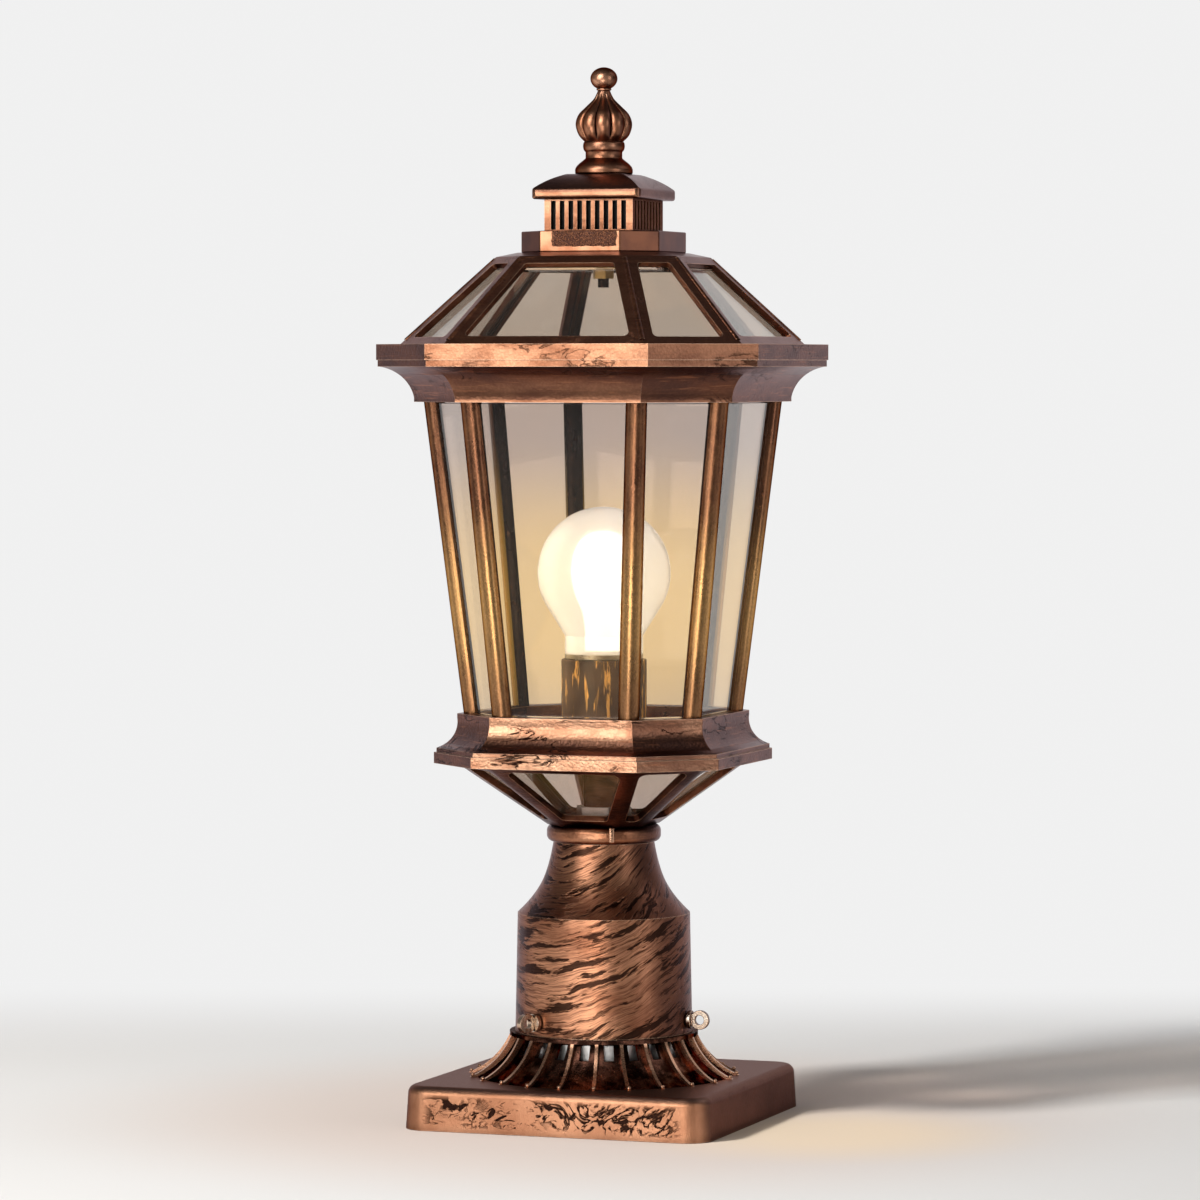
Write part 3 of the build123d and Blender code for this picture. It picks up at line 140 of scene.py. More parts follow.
def cells(tree, place, scale):
    """Distance from the nearest of many scattered points."""
    voronoi = tree.nodes.new("ShaderNodeTexVoronoi")
    tree.links.new(place, voronoi.inputs["Vector"])
    voronoi.inputs["Scale"].default_value = scale
    return voronoi.outputs["Distance"]


def between(tree, value, low, high, first=0.0, last=1.0):
    """Soft step: first below low, last above high."""
    step = tree.nodes.new("ShaderNodeMapRange")
    step.interpolation_type = "SMOOTHSTEP"
    tree.links.new(value, step.inputs["Value"])
    step.inputs["From Min"].default_value = low
    step.inputs["From Max"].default_value = high
    step.inputs["To Min"].default_value = first
    step.inputs["To Max"].default_value = last
    return step.outputs["Result"]


def number(tree, operation, first, second=0.0):
    """One sum on two numbers."""
    node = tree.nodes.new("ShaderNodeMath")
    node.operation = operation
    feed(tree, node.inputs[0], first)
    feed(tree, node.inputs[1], second)
    return node.outputs["Value"]


def times(tree, first, second):
    """Two numbers multiplied."""
    return number(tree, "MULTIPLY", first, second)


def from_middle(tree, value, middle):
    """How far a number is from a middle value, either way."""
    return number(tree, "ABSOLUTE", number(tree, "SUBTRACT", value, middle))


def from_vectors(tree, operation, first, second):
    """One number from two vectors, such as how far apart they are."""
    node = tree.nodes.new("ShaderNodeVectorMath")
    node.operation = operation
    feed(tree, node.inputs[0], first)
    feed(tree, node.inputs[1], second)
    return node.outputs["Value"]


def colours(tree, share, first, second):
    """Two colours mixed by a share."""
    mix = tree.nodes.new("ShaderNodeMix")
    mix.data_type = "RGBA"
    feed(tree, mix.inputs[0], share)
    feed(tree, mix.inputs[6], first)
    feed(tree, mix.inputs[7], second)
    return mix.outputs[2]


def axes(tree, place):
    """The three coordinates apart."""
    parts = tree.nodes.new("ShaderNodeSeparateXYZ")
    tree.links.new(place, parts.inputs["Vector"])
    return parts.outputs["X"], parts.outputs["Y"], parts.outputs["Z"]


def together(tree, x, y, z):
    """Three numbers as one coordinate."""
    joined = tree.nodes.new("ShaderNodeCombineXYZ")
    feed(tree, joined.inputs["X"], x)
    feed(tree, joined.inputs["Y"], y)
    feed(tree, joined.inputs["Z"], z)
    return joined.outputs["Vector"]


def outward(tree):
    """The way the surface faces, in the piece's own frame."""
    return tree.nodes.new("ShaderNodeTexCoord").outputs["Normal"]


def worn_and_lit_edge(tree, reach):
    """1 along the piece's edges, where handling rubs the patina off and a painted highlight is laid, 0 on
    its flats.
    """
    rounded = tree.nodes.new("ShaderNodeBevel")
    rounded.samples = 4
    rounded.inputs["Radius"].default_value = reach
    plain = tree.nodes.new("ShaderNodeNewGeometry")
    likeness = from_vectors(tree, "DOT_PRODUCT", rounded.outputs["Normal"], plain.outputs["Normal"])
    return between(tree, likeness, 0.80, 0.985, 1.0, 0.0)


def hollow(tree, reach):
    """1 in corners and grooves, where patina gathers and ambient occlusion paints in shade, 0 in the open.
    """
    shade = tree.nodes.new("ShaderNodeAmbientOcclusion")
    shade.samples = 6
    shade.inputs["Distance"].default_value = reach
    return between(tree, shade.outputs["AO"], 0.35, 0.85, 1.0, 0.0)


def relief(tree, surface, height, depth, strength):
    """Raises and sinks the surface by a pattern."""
    bump = tree.nodes.new("ShaderNodeBump")
    bump.inputs["Strength"].default_value = strength
    bump.inputs["Distance"].default_value = depth
    tree.links.new(height, bump.inputs["Height"])
    tree.links.new(bump.outputs["Normal"], surface.inputs["Normal"])


def painted_lit_side(tree, low, high):
    """1 on the front and back, which painted light makes bright, 0 on the other sides, left in painted
    shade.
    """
    facing = from_vectors(tree, "DOT_PRODUCT", outward(tree), at_turn(LIT_SIDE_TURN, 1.0))
    return between(tree, number(tree, "ABSOLUTE", facing), low, high)


def level_band(tree, height, bands):
    """1 within bands of height, given in millimetres, 0 outside them."""
    inside = 0.0
    for low, high in bands:
        over = between(tree, height, low * MM - BAND_SOFTNESS, low * MM + BAND_SOFTNESS)
        under = between(tree, height, high * MM - BAND_SOFTNESS, high * MM + BAND_SOFTNESS, 1.0, 0.0)
        inside = number(tree, "MAXIMUM", inside, times(tree, over, under))
    return inside


def cracked(tree, place, scale, width, patch_scale, patch):
    """Broken dark lines, gathered in patches."""
    vein = from_middle(tree, cloud(tree, place, scale, 5, 0.6, 1.2), 0.5)
    line = between(tree, vein, 0.25 * width, width, 1.0, 0.0)
    return times(tree, line, between(tree, cloud(tree, place, patch_scale, 3, 0.5), *patch))


def bare_metal(tree, surface, colour, dull, sheen):
    """Makes the surface metal: its colour, its roughness and the tint it takes at a glance."""
    tree.links.new(colour, surface.inputs["Base Color"])
    tree.links.new(dull, surface.inputs["Roughness"])
    surface.inputs["Metallic"].default_value = 1.0
    surface.inputs["Specular Tint"].default_value = sheen


def choose(tree, share, first, second):
    """Puts two shaders on the tree's output, mixed by a share."""
    choice = tree.nodes.new("ShaderNodeMixShader")
    tree.links.new(share, choice.inputs[0])
    tree.links.new(first, choice.inputs[1])
    tree.links.new(second, choice.inputs[2])
    output = next(node for node in tree.nodes if node.type.startswith("OUTPUT"))
    tree.links.new(choice.outputs["Shader"], output.inputs["Surface"])


def looked_at(tree):
    """1 for what is seen straight, in a mirror or through glass, 0 for what only lights."""
    rays = tree.nodes.new("ShaderNodeLightPath").outputs
    bent = number(tree, "MAXIMUM", rays["Is Glossy Ray"], rays["Is Transmission Ray"])
    return number(tree, "MAXIMUM", rays["Is Camera Ray"], bent)


def in_mirror(tree):
    """1 for what shiny pieces mirror, 0 for the rest."""
    rays = tree.nodes.new("ShaderNodeLightPath").outputs
    return number(tree, "MINIMUM", rays["Glossy Depth"], 1.0)


def antique_copper(
    name,
    bands=None,
    low_share=0.28,
    lit_facing=(0.64, 0.995),
    light=(COPPER_WARM, COPPER_BRIGHT),
    dark=(COPPER_DEEP, COPPER_BROWN),
    marks=0.9,
    mark_lie=(1, 1, 2.4),
    mark_scale=48,
    mark_patch=(0.52, 0.60),
    rough=(0.28, 0.42),
    wear_and_glint=0.7 * MM,
    hollow_reach=4 * MM,
    streaks=0.5,
    hammer=0.5,
    sheen=EDGE_SHEEN,
):
    """Cast copper, browned all over, with dark cracks; painted light makes the sides facing front and back
    bright, mostly within bands of height where raised zones wear bright, a painted highlight lines its
    edges, and its hollows get patina and painted shade.
    """
    finish, tree, place, surface = start_finish(name)
    mottle = between(tree, cloud(tree, laid(tree, place, (1, 1, 2.2)), 34, 6, 0.62, 0.3), 0.36, 0.64)
    # Painted light: the light colours go on the sides facing front and back, the dark colours, patina and
    # painted shade, elsewhere
    painted_light_share = painted_lit_side(tree, *lit_facing)
    if bands is not None:
        level = axes(tree, place)[Z]
        banded = number(tree, "MAXIMUM", level_band(tree, level, bands), low_share)
        painted_light_share = times(tree, painted_light_share, banded)
    breakup = between(tree, cloud(tree, place, 75, 5, 0.65, 0.4), 0.30, 0.55)
    painted_light_share = times(tree, painted_light_share, between(tree, breakup, 0.0, 1.0, 0.72, 1.0))
    colour = colours(tree, painted_light_share, colours(tree, mottle, *dark), colours(tree, mottle, *light))
    dents = cells(tree, place, 760)
    speck = between(tree, dents, 0.15, 0.75)
    colour = colours(tree, times(tree, speck, 0.28 * hammer), colour, COPPER_DARK)
    score = laid(tree, place, (46, 46, 1150), (0.07, -0.05, 0))
    line = between(tree, cloud(tree, score, 1.0, 3, 0.55, 0.9), 0.585, 0.66)
    colour = colours(tree, times(tree, line, streaks), colour, COPPER_WARM)
    lines = cracked(tree, laid(tree, place, mark_lie), mark_scale, 0.028, 30, mark_patch)
    lines = times(tree, lines, marks)
    colour = colours(tree, lines, colour, COPPER_DARK)
    # Hollows darkened by patina and by shade painted in from ambient occlusion
    hollow_patina_and_shade = times(tree, hollow(tree, hollow_reach), 0.8)
    colour = colours(tree, hollow_patina_and_shade, colour, COPPER_DARK)
    # Edges with wear, brightened as a painted highlight
    edge = times(tree, worn_and_lit_edge(tree, wear_and_glint), number(tree, "SUBTRACT", 1.0, hollow_patina_and_shade))
    edge = times(tree, edge, between(tree, breakup, 0.0, 1.0, 0.55, 1.0))
    colour = colours(tree, edge, colour, EDGE_WEAR_AND_HIGHLIGHT)
    grain = cloud(tree, place, 1600, 3, 0.6)
    height = number(tree, "ADD", times(tree, grain, 0.35), times(tree, dents, -hammer))
    height = number(tree, "SUBTRACT", height, times(tree, lines, 0.9))
    wear = number(tree, "ADD", lines, times(tree, mottle, -0.4))
    bare_metal(tree, surface, colour, between(tree, wear, -0.4, 0.8, *rough), sheen)
    relief(tree, surface, height, 0.22 * MM, 0.7)
    return finish


def streaked_copper(name):
    """The fitter's copper, brushed round it by hand in short dark slanting strokes, with painted light
    bright on its front and back and painted shade dark on its sides.
    """
    finish, tree, place, surface = start_finish(name)
    x, y, z = axes(tree, place)
    azimuth = number(tree, "ARCTAN2", x, times(tree, y, -1.0))
    swing = number(tree, "SINE", number(tree, "SUBTRACT", azimuth, STROKE_TURN))
    wander = times(tree, number(tree, "SUBTRACT", cloud(tree, place, 38, 3, 0.5), 0.5), STROKE_WANDER)
    slant = times(tree, swing, STROKE_SLANT)
    across = number(tree, "SUBTRACT", number(tree, "ADD", z, wander), slant)

    def along(round_scale, across_scale):
        return together(
            tree,
            times(tree, x, round_scale),
            times(tree, y, round_scale),
            times(tree, across, across_scale),
        )

    stroke = between(tree, cloud(tree, along(46, 240), 1.0, 4, 0.60, 0.2), 0.545, 0.595)
    thin = between(tree, cloud(tree, along(90, 720), 1.0, 3, 0.55, 0.2), 0.56, 0.64)
    ink = number(tree, "MAXIMUM", stroke, times(tree, thin, 0.75))
    haze = between(tree, cloud(tree, place, 30, 4, 0.55), 0.34, 0.62)
    hairs = cloud(tree, along(80, 1700), 1.0, 3, 0.6)
    # Painted light on the front and back, painted shade on the sides
    painted_light_share = painted_lit_side(tree, 0.45, 1.0)
    light = colours(tree, haze, (0.38, 0.152, 0.080, 1), (0.72, 0.345, 0.195, 1))
    sides = colours(tree, haze, (0.140, 0.062, 0.044, 1), (0.225, 0.094, 0.059, 1))
    colour = colours(tree, painted_light_share, sides, light)
    brushed = times(tree, between(tree, hairs, 0.42, 0.66), 0.75)
    colour = colours(tree, brushed, colour, COPPER_BROWN)
    colour = colours(tree, times(tree, ink, 0.94), colour, COPPER_DARK)
    # Edges with wear and a painted highlight
    colour = colours(tree, worn_and_lit_edge(tree, 0.9 * MM), colour, EDGE_WEAR_AND_HIGHLIGHT)
    height = number(tree, "SUBTRACT", times(tree, hairs, 0.6), ink)
    bare_metal(tree, surface, colour, between(tree, hairs, 0.2, 0.8, 0.26, 0.40), EDGE_SHEEN)
    relief(tree, surface, height, 0.26 * MM, 0.7)
    return finish


def cast_base_copper(name):
    """The base plate's copper: smooth and brown on top, sand-cast marks along its front and back; painted
    light makes its front and back bright, painted shade darkens its other sides and sets the brown of its
    top, and its hollows get patina and painted shade.
    """
    finish, tree, place, surface = start_finish(name)
    facing = axes(tree, outward(tree))
    spot = axes(tree, place)
    front = between(tree, number(tree, "ABSOLUTE", facing[Y]), 0.90, 0.97)
    off_middle = from_middle(tree, spot[Z], BASE_MARKS_MIDDLE)
    level = between(tree, off_middle, *BASE_MARKS_RISE, 1.0, 0.0)
    length = between(tree, number(tree, "ABSOLUTE", spot[X]), *BASE_MARKS_REACH, 1.0, 0.0)
    field = times(tree, front, times(tree, level, length))
    swirl = cloud(tree, laid(tree, place, (1, 1, 1.25), (0, 0.35, 0)), 46, 4, 0.55, 2.6)
    vein = from_middle(tree, swirl, 0.5)
    shows = between(tree, cloud(tree, place, 34, 3, 0.5), 0.40, 0.52)
    marks = times(tree, shows, between(tree, vein, 0.010, 0.040, 1.0, 0.0))
    blot_lie = laid(tree, place, (1, 1, 1.4), (0, 0.3, 0))
    blots = between(tree, cloud(tree, blot_lie, 74, 4, 0.58, 1.6), 0.585, 0.62)
    fine = between(tree, cloud(tree, laid(tree, place, (1, 1, 1.8)), 240, 4, 0.6, 0.8), 0.60, 0.70)
    spots = number(tree, "MAXIMUM", blots, times(tree, fine, 0.6))
    sunk = times(tree, field, number(tree, "MAXIMUM", marks, spots))
    mottle = between(tree, cloud(tree, place, 28, 5, 0.6), 0.34, 0.66)
    # Painted light on the front and back; painted shade on the other sides and on the top
    top = between(tree, facing[Z], 0.30, 0.80)
    painted_light_share = painted_lit_side(tree, 0.30, 0.95)
    light = colours(tree, mottle, (0.44, 0.200, 0.110, 1), (0.66, 0.335, 0.195, 1))
    flank = colours(tree, mottle, (0.135, 0.070, 0.055, 1), (0.19, 0.100, 0.078, 1))
    colour = colours(tree, painted_light_share, flank, light)
    colour = colours(tree, top, colour, (0.205, 0.115, 0.087, 1))
    colour = colours(tree, times(tree, field, 0.15), colour, COPPER_WARM)
    colour = colours(tree, sunk, colour, COPPER_DARK)
    grain = cloud(tree, laid(tree, place, (1, 1, 0.35)), 1700, 3, 0.6)
    # Edges with wear and a painted highlight
    edge = times(tree, worn_and_lit_edge(tree, 1.4 * MM), 0.8)
    colour = colours(tree, edge, colour, EDGE_WEAR_AND_HIGHLIGHT)
    # Hollows darkened by patina and by shade painted in from ambient occlusion
    hollow_patina_and_shade = times(tree, hollow(tree, 7 * MM), 0.7)
    colour = colours(tree, hollow_patina_and_shade, colour, COPPER_DARK)
    height = number(tree, "SUBTRACT", times(tree, grain, 0.25), sunk)
    bare_metal(tree, surface, colour, between(tree, grain, 0.2, 0.8, 0.32, 0.44), (0.62, 0.50, 0.50, 1))
    relief(tree, surface, height, 0.55 * MM, 0.9)
    return finish


def stippled_copper(name):
    """The vent collar's copper: a bright border round a pitted panel on its front and back; the border's
    brightness is painted light, and the other sides are dark with painted shade.
    """
    finish, tree, place, surface = start_finish(name)
    x, y, z = axes(tree, place)
    on_front = number(tree, "LESS_THAN", number(tree, "ABSOLUTE", x), number(tree, "ABSOLUTE", y))
    ragged = times(tree, number(tree, "SUBTRACT", cloud(tree, place, 210, 4, 0.6), 0.5), 3.4 * MM)
    aside = number(tree, "ADD", from_middle(tree, x, PANEL_ASIDE), ragged)
    wide = between(tree, aside, *PANEL_REACH, 1.0, 0.0)
    away = number(tree, "ADD", from_middle(tree, z, PANEL_MIDDLE), times(tree, ragged, 0.5))
    tall = between(tree, away, *PANEL_RISE, 1.0, 0.0)
    panel = times(tree, on_front, times(tree, wide, tall))
    dents = cells(tree, place, 1500)
    mottle = between(tree, cloud(tree, place, 60, 5, 0.6), 0.35, 0.65)
    # Painted light on the front and back, painted shade on the other sides
    painted_light_share = painted_lit_side(tree, 0.74, 0.99)
    light = colours(tree, mottle, COPPER_WARM, COPPER_BRIGHT)
    colour = colours(tree, painted_light_share, colours(tree, mottle, COPPER_DEEP, COPPER_BROWN), light)
    stipple = colours(tree, between(tree, dents, 0.12, 0.62), COPPER_WARM, COPPER_DEEP)
    colour = colours(tree, times(tree, panel, 0.95), colour, stipple)
    # Edges with wear and a painted highlight
    colour = colours(tree, worn_and_lit_edge(tree, 0.6 * MM), colour, COPPER_BRIGHT)
    pits = times(tree, number(tree, "ADD", dents, 0.6), times(tree, panel, -1.0))
    bare_metal(tree, surface, colour, between(tree, panel, 0.0, 1.0, 0.30, 0.46), EDGE_SHEEN)
    relief(tree, surface, pits, 0.35 * MM, 0.9)
    return finish


def post_copper(name):
    """The cage posts' copper: brown with a leathery grain, golden near the bulb with painted bulb light,
    dark on the inside.
    """
    finish, tree, place, surface = start_finish(name)
    x, y, z = axes(tree, place)
    # Painted bulb light: gold on the posts near the bulb
    below = between(tree, z, *POST_LIT_BELOW, 0.25, 1.0)
    lit = times(tree, below, between(tree, z, *POST_LIT_ABOVE, 1.0, 0.05))
    dents = cells(tree, laid(tree, place, (1, 1, 0.6)), 1300)
    mottle = between(tree, cloud(tree, laid(tree, place, (1, 1, 0.4)), 90, 5, 0.6), 0.36, 0.66)
    brown = colours(tree, mottle, COPPER_BROWN, (0.30, 0.135, 0.068, 1))
    colour = colours(tree, times(tree, lit, 0.75), brown, BULB_LIT_GOLD)
    outside = from_vectors(tree, "DOT_PRODUCT", outward(tree), together(tree, x, y, 0.0))
    inside = between(tree, outside, *POST_INSIDE, 1.0, 0.0)
    colour = colours(tree, inside, colour, (0.030, 0.020, 0.015, 1))
    pits = times(tree, between(tree, dents, 0.2, 0.8), 0.22)
    colour = colours(tree, pits, colour, COPPER_DARK)
    flecks = between(tree, cloud(tree, laid(tree, place, (1, 1, 0.8)), 900, 3, 0.6), 0.62, 0.72)
    colour = colours(tree, times(tree, flecks, 0.4), colour, COPPER_BRIGHT)
    height = number(tree, "ADD", times(tree, dents, -0.6), times(tree, flecks, 0.4))
    bare_metal(tree, surface, colour, between(tree, mottle, 0.0, 1.0, 0.26, 0.34), (0.08, 0.05, 0.04, 1))
    relief(tree, surface, height, 0.07 * MM, 0.4)
    return finish


def dark_gloss_copper(name, light, dark, rough):
    """Dark copper with a wet look, as in the skirt's channels."""
    finish, tree, place, surface = start_finish(name)
    mottle = between(tree, cloud(tree, place, 120, 5, 0.62, 0.4), 0.40, 0.70)
    colour = colours(tree, mottle, dark, light)
    grain = cloud(tree, place, 420, 4, 0.6)
    dull = between(tree, grain, 0.3, 0.7, rough, rough + 0.14)
    bare_metal(tree, surface, colour, dull, (0.20, 0.12, 0.10, 1))
    relief(tree, surface, grain, 0.25 * MM, 0.6)
    return finish


def holder_brown(name):
    """The lampholder's brown enamel, with upright gold runs that are wear and a painted golden reflection.
    """
    finish, tree, place, surface = start_finish(name)
    mottle = between(tree, cloud(tree, place, 70, 4, 0.6), 0.35, 0.65)
    colour = colours(tree, mottle, (0.062, 0.038, 0.024, 1), (0.105, 0.066, 0.042, 1))
    # Upright gold runs: wear and a painted golden reflection
    runs = cloud(tree, laid(tree, place, (300, 300, 38)), 1.0, 4, 0.62, 0.5)
    wear_and_glint = between(tree, runs, 0.565, 0.64)
    colour = colours(tree, wear_and_glint, colour, (0.95, 0.58, 0.18, 1))
    tree.links.new(colour, surface.inputs["Base Color"])
    tree.links.new(times(tree, wear_and_glint, 0.6), surface.inputs["Metallic"])
    tree.links.new(between(tree, mottle, 0.0, 1.0, 0.30, 0.42), surface.inputs["Roughness"])
    relief(tree, surface, runs, 0.2 * MM, 0.6)
    return finish


def plain_metal(name, colour, rough):
    """Turned or drawn metal with a fine grain and a little tarnish."""
    finish, tree, place, surface = start_finish(name)
    tarnish = between(tree, cloud(tree, place, 90, 4, 0.6), 0.40, 0.72, 0.0, 0.45)
    shade = (colour[0] * 0.35, colour[1] * 0.33, colour[2] * 0.32, 1)
    grain = cloud(tree, laid(tree, place, (1, 1, 5)), 900, 3, 0.6)
    dull = between(tree, grain, 0.25, 0.75, rough, rough + 0.15)
    bare_metal(tree, surface, colours(tree, tarnish, colour, shade), dull, NO_TINT)
    relief(tree, surface, grain, 0.08 * MM, 0.5)
    return finish


def tinted_glass(name, tint, haze, lit=0.0):
    """Drawn glass with a slight tint, which lets lamp light through and, if lit, has a painted amber glow
    near the bulb.
    """
    finish, tree, place, surface = start_finish(name)
    film = cloud(tree, laid(tree, place, (1, 1, 0.4)), 16, 3, 0.5)
    warmer = (tint[0] * 1.02, tint[1] * 0.99, tint[2] * 0.96, 1)
    colour = colours(tree, between(tree, film, 0.35, 0.65), tint, warmer)
    surface.inputs["Transmission Weight"].default_value = 1.0 - haze
    surface.inputs["IOR"].default_value = 1.45
    surface.inputs["Specular IOR Level"].default_value = 0.07
    # Painted bulb light: amber tint and glow on the inner faces near the bulb
    if lit:
        span = from_vectors(tree, "DISTANCE", place, (0, 0, BULB_MIDDLE))
        near = between(tree, span, *PANE_GLOW, 1.0, 0.0)
        colour = colours(tree, near, colour, PANE_GLOW_TINT)
        inside = from_vectors(tree, "DOT_PRODUCT", outward(tree), place)
        inner = between(tree, inside, -20 * MM, 0.0, 1.0, 0.0)
        behind = tree.nodes.new("ShaderNodeNewGeometry").outputs["Backfacing"]
        glow = times(tree, times(tree, near, inner), number(tree, "SUBTRACT", 1.0, behind))
        surface.inputs["Emission Color"].default_value = (1.0, 0.58, 0.10, 1)
        tree.links.new(times(tree, glow, lit), surface.inputs["Emission Strength"])
    tree.links.new(colour, surface.inputs["Base Color"])
    tree.links.new(between(tree, film, 0.3, 0.7, 0.005, 0.02), surface.inputs["Roughness"])
    relief(tree, surface, cloud(tree, place, 22, 2, 0.5), 0.05 * MM, 0.25)
    clear = tree.nodes.new("ShaderNodeBsdfTransparent")
    clear.inputs["Color"].default_value = tuple(channel ** 0.5 for channel in tint[:3]) + (1,)
    shadow = tree.nodes.new("ShaderNodeLightPath").outputs["Is Shadow Ray"]
    choose(tree, shadow, surface.outputs["BSDF"], clear.outputs["BSDF"])
    return finish


def moulded(name, colour, rough):
    """Moulded or coated stuff with a fine pebble and a little unevenness of colour."""
    finish, tree, place, surface = start_finish(name)
    uneven = between(tree, cloud(tree, place, 60, 4, 0.6), 0.35, 0.7)
    darker = tuple(0.72 * channel for channel in colour[:3]) + (1,)
    pebble = cloud(tree, place, 800, 3, 0.55)
    tree.links.new(colours(tree, uneven, colour, darker), surface.inputs["Base Color"])
    tree.links.new(between(tree, pebble, 0.3, 0.7, rough, rough + 0.12), surface.inputs["Roughness"])
    relief(tree, surface, pebble, 0.05 * MM, 0.5)
    return finish


def frosted_bulb(name):
    """Bulb glass, frosted inside and faintly lit."""
    finish, tree, place, surface = start_finish(name)
    frost = cloud(tree, place, 700, 3, 0.6)
    soft = cloud(tree, place, 30, 3, 0.5)
    pale = colours(tree, between(tree, soft, 0.35, 0.65), (0.95, 0.96, 0.98, 1), (0.97, 0.98, 1.0, 1))
    tree.links.new(pale, surface.inputs["Base Color"])
    tree.links.new(pale, surface.inputs["Emission Color"])
    surface.inputs["Emission Strength"].default_value = 0.14
    tree.links.new(between(tree, frost, 0.3, 0.7, 0.13, 0.18), surface.inputs["Roughness"])
    surface.inputs["Transmission Weight"].default_value = 0.62
    surface.inputs["IOR"].default_value = 1.25
    relief(tree, surface, frost, 0.03 * MM, 0.3)
    return finish


def light_core(name):
    """The diffuser inside the bulb, which gives the light."""
    finish, tree, place, surface = start_finish(name)
    rise = between(tree, axes(tree, place)[Z], DIFFUSER_FOOT, BULB_MIDDLE, 0.55, 1.0)
    soft = times(tree, rise, between(tree, cloud(tree, place, 40, 3, 0.5), 0.2, 0.8, 0.9, 1.05))
    light = colours(tree, soft, (1.0, 0.96, 0.90, 1), (1.0, 0.99, 0.98, 1))
    stuff = colours(tree, soft, (0.9, 0.85, 0.75, 1), (0.95, 0.93, 0.9, 1))
    tree.links.new(light, surface.inputs["Emission Color"])
    tree.links.new(stuff, surface.inputs["Base Color"])
    surface.inputs["Emission Strength"].default_value = 2.5
    surface.inputs["Roughness"].default_value = 0.5
    return finish


CROWN_COPPER = antique_copper("crown_copper", bands=((326, 330.2), (344.6, 356)), marks=0.6, wear_and_glint=0.6 * MM)
# Bright bands of height: wear on raised zones and the cove's top, where a painted highlight goes
RING_COPPER = antique_copper(
    "ring_copper",
    bands=((163, 170.8), (177.5, 188)),
    low_share=0.24,
    light=((0.54, 0.245, 0.138, 1), (0.82, 0.46, 0.285, 1)),
    marks=1.0,
    mark_lie=(1, 1, 3.4),
    mark_scale=34,
    mark_patch=(0.50, 0.58),
)
ROOF_COPPER = antique_copper(
    "roof_copper",
    lit_facing=(0.30, 0.95),
    light=((0.22, 0.088, 0.052, 1), (0.36, 0.158, 0.092, 1)),
    dark=(COPPER_BROWN, (0.21, 0.088, 0.054, 1)),
    marks=0.4,
    hollow_reach=2 * MM,
    streaks=0.35,
)
CAP_COPPER = antique_copper(
    "cap_copper",
    bands=((419, 424.2),),
    dark=((0.125, 0.058, 0.045, 1), (0.20, 0.092, 0.066, 1)),
    marks=0.3,
    streaks=0.2,
    hammer=0.3,
)
SLAT_COPPER = antique_copper(
    "slat_copper", marks=0.3, hollow_reach=2 * MM, wear_and_glint=0.4 * MM, streaks=0.2, sheen=(0.52, 0.43, 0.43, 1)
)
FINIAL_COPPER = antique_copper(
    "finial_copper",
    lit_facing=(0.45, 0.98),
    light=((0.52, 0.22, 0.118, 1), (0.80, 0.42, 0.265, 1)),
    dark=(COPPER_DEEP, COPPER_BROWN),
    marks=0.1,
    rough=(0.32, 0.40),
    wear_and_glint=0.5 * MM,
    hollow_reach=2.6 * MM,
    streaks=0.0,
    hammer=0.08,
    sheen=(0.35, 0.24, 0.20, 1),
)
NECK_COPPER = antique_copper("neck_copper", lit_facing=(0.40, 0.99), marks=0.5, streaks=0.4)
BASKET_COPPER = antique_copper(
    "basket_copper",
    light=(COPPER_BROWN, COPPER_WARM),
    dark=(COPPER_DARK, COPPER_BROWN),
    marks=0.4,
    streaks=0.2,
)
# Near-white light colours: painted highlights on the screws
SCREW_BRONZE = antique_copper(
    "screw_bronze",
    lit_facing=(-0.3, 0.8),
    light=((0.66, 0.50, 0.38, 1), (0.90, 0.80, 0.68, 1)),
    dark=(COPPER_DARK, COPPER_DEEP),
    marks=0.0,
    rough=(0.22, 0.32),
    wear_and_glint=0.9 * MM,
    hollow_reach=1.5 * MM,
    streaks=0.0,
    hammer=0.2,
)
BEAD_COPPER = antique_copper(
    "bead_copper",
    lit_facing=(0.2, 0.8),
    light=(COPPER_BROWN, COPPER_WARM),
    marks=0.8,
    mark_scale=160,
    hammer=1.0,
)
COLLAR_COPPER = stippled_copper("collar_copper")
POST_COPPER = post_copper("post_copper")
FITTER_COPPER = streaked_copper("fitter_copper")
BASE_COPPER = cast_base_copper("base_copper")
CHANNEL_COPPER = dark_gloss_copper("channel_copper", (0.27, 0.118, 0.078, 1), COPPER_DARK, 0.20)
FIN_COPPER = plain_metal("fin_copper", (0.67, 0.375, 0.24, 1), 0.22)
STEM_COPPER = dark_gloss_copper("stem_copper", (0.075, 0.045, 0.036, 1), COPPER_DARK, 0.30)
BARE_ALUMINIUM = plain_metal("bare_aluminium", (0.80, 0.80, 0.80, 1), 0.30)
PLATED_STEEL = plain_metal("plated_steel", (0.55, 0.55, 0.54, 1), 0.28)
CONTACT_BRASS = plain_metal("contact_brass", (0.66, 0.46, 0.18, 1), 0.26)
CAP_ALUMINIUM = plain_metal("cap_aluminium", (0.72, 0.71, 0.69, 1), 0.24)
HOLDER_BROWN = holder_brown("holder_brown")
PANE_GLASS = tinted_glass("pane_glass", PANE_TINT, 0.008, 0.27)
ROOF_GLASS = tinted_glass("roof_glass", ROOF_TINT, 0.006)
BULB_FROST = frosted_bulb("bulb_frost")
BULB_LIGHT = light_core("bulb_light")
INSULATOR_WHITE = moulded("insulator_white", (0.72, 0.69, 0.62, 1), 0.45)
TRAY_BLACK = moulded("tray_black", (0.03, 0.03, 0.032, 1), 0.42)
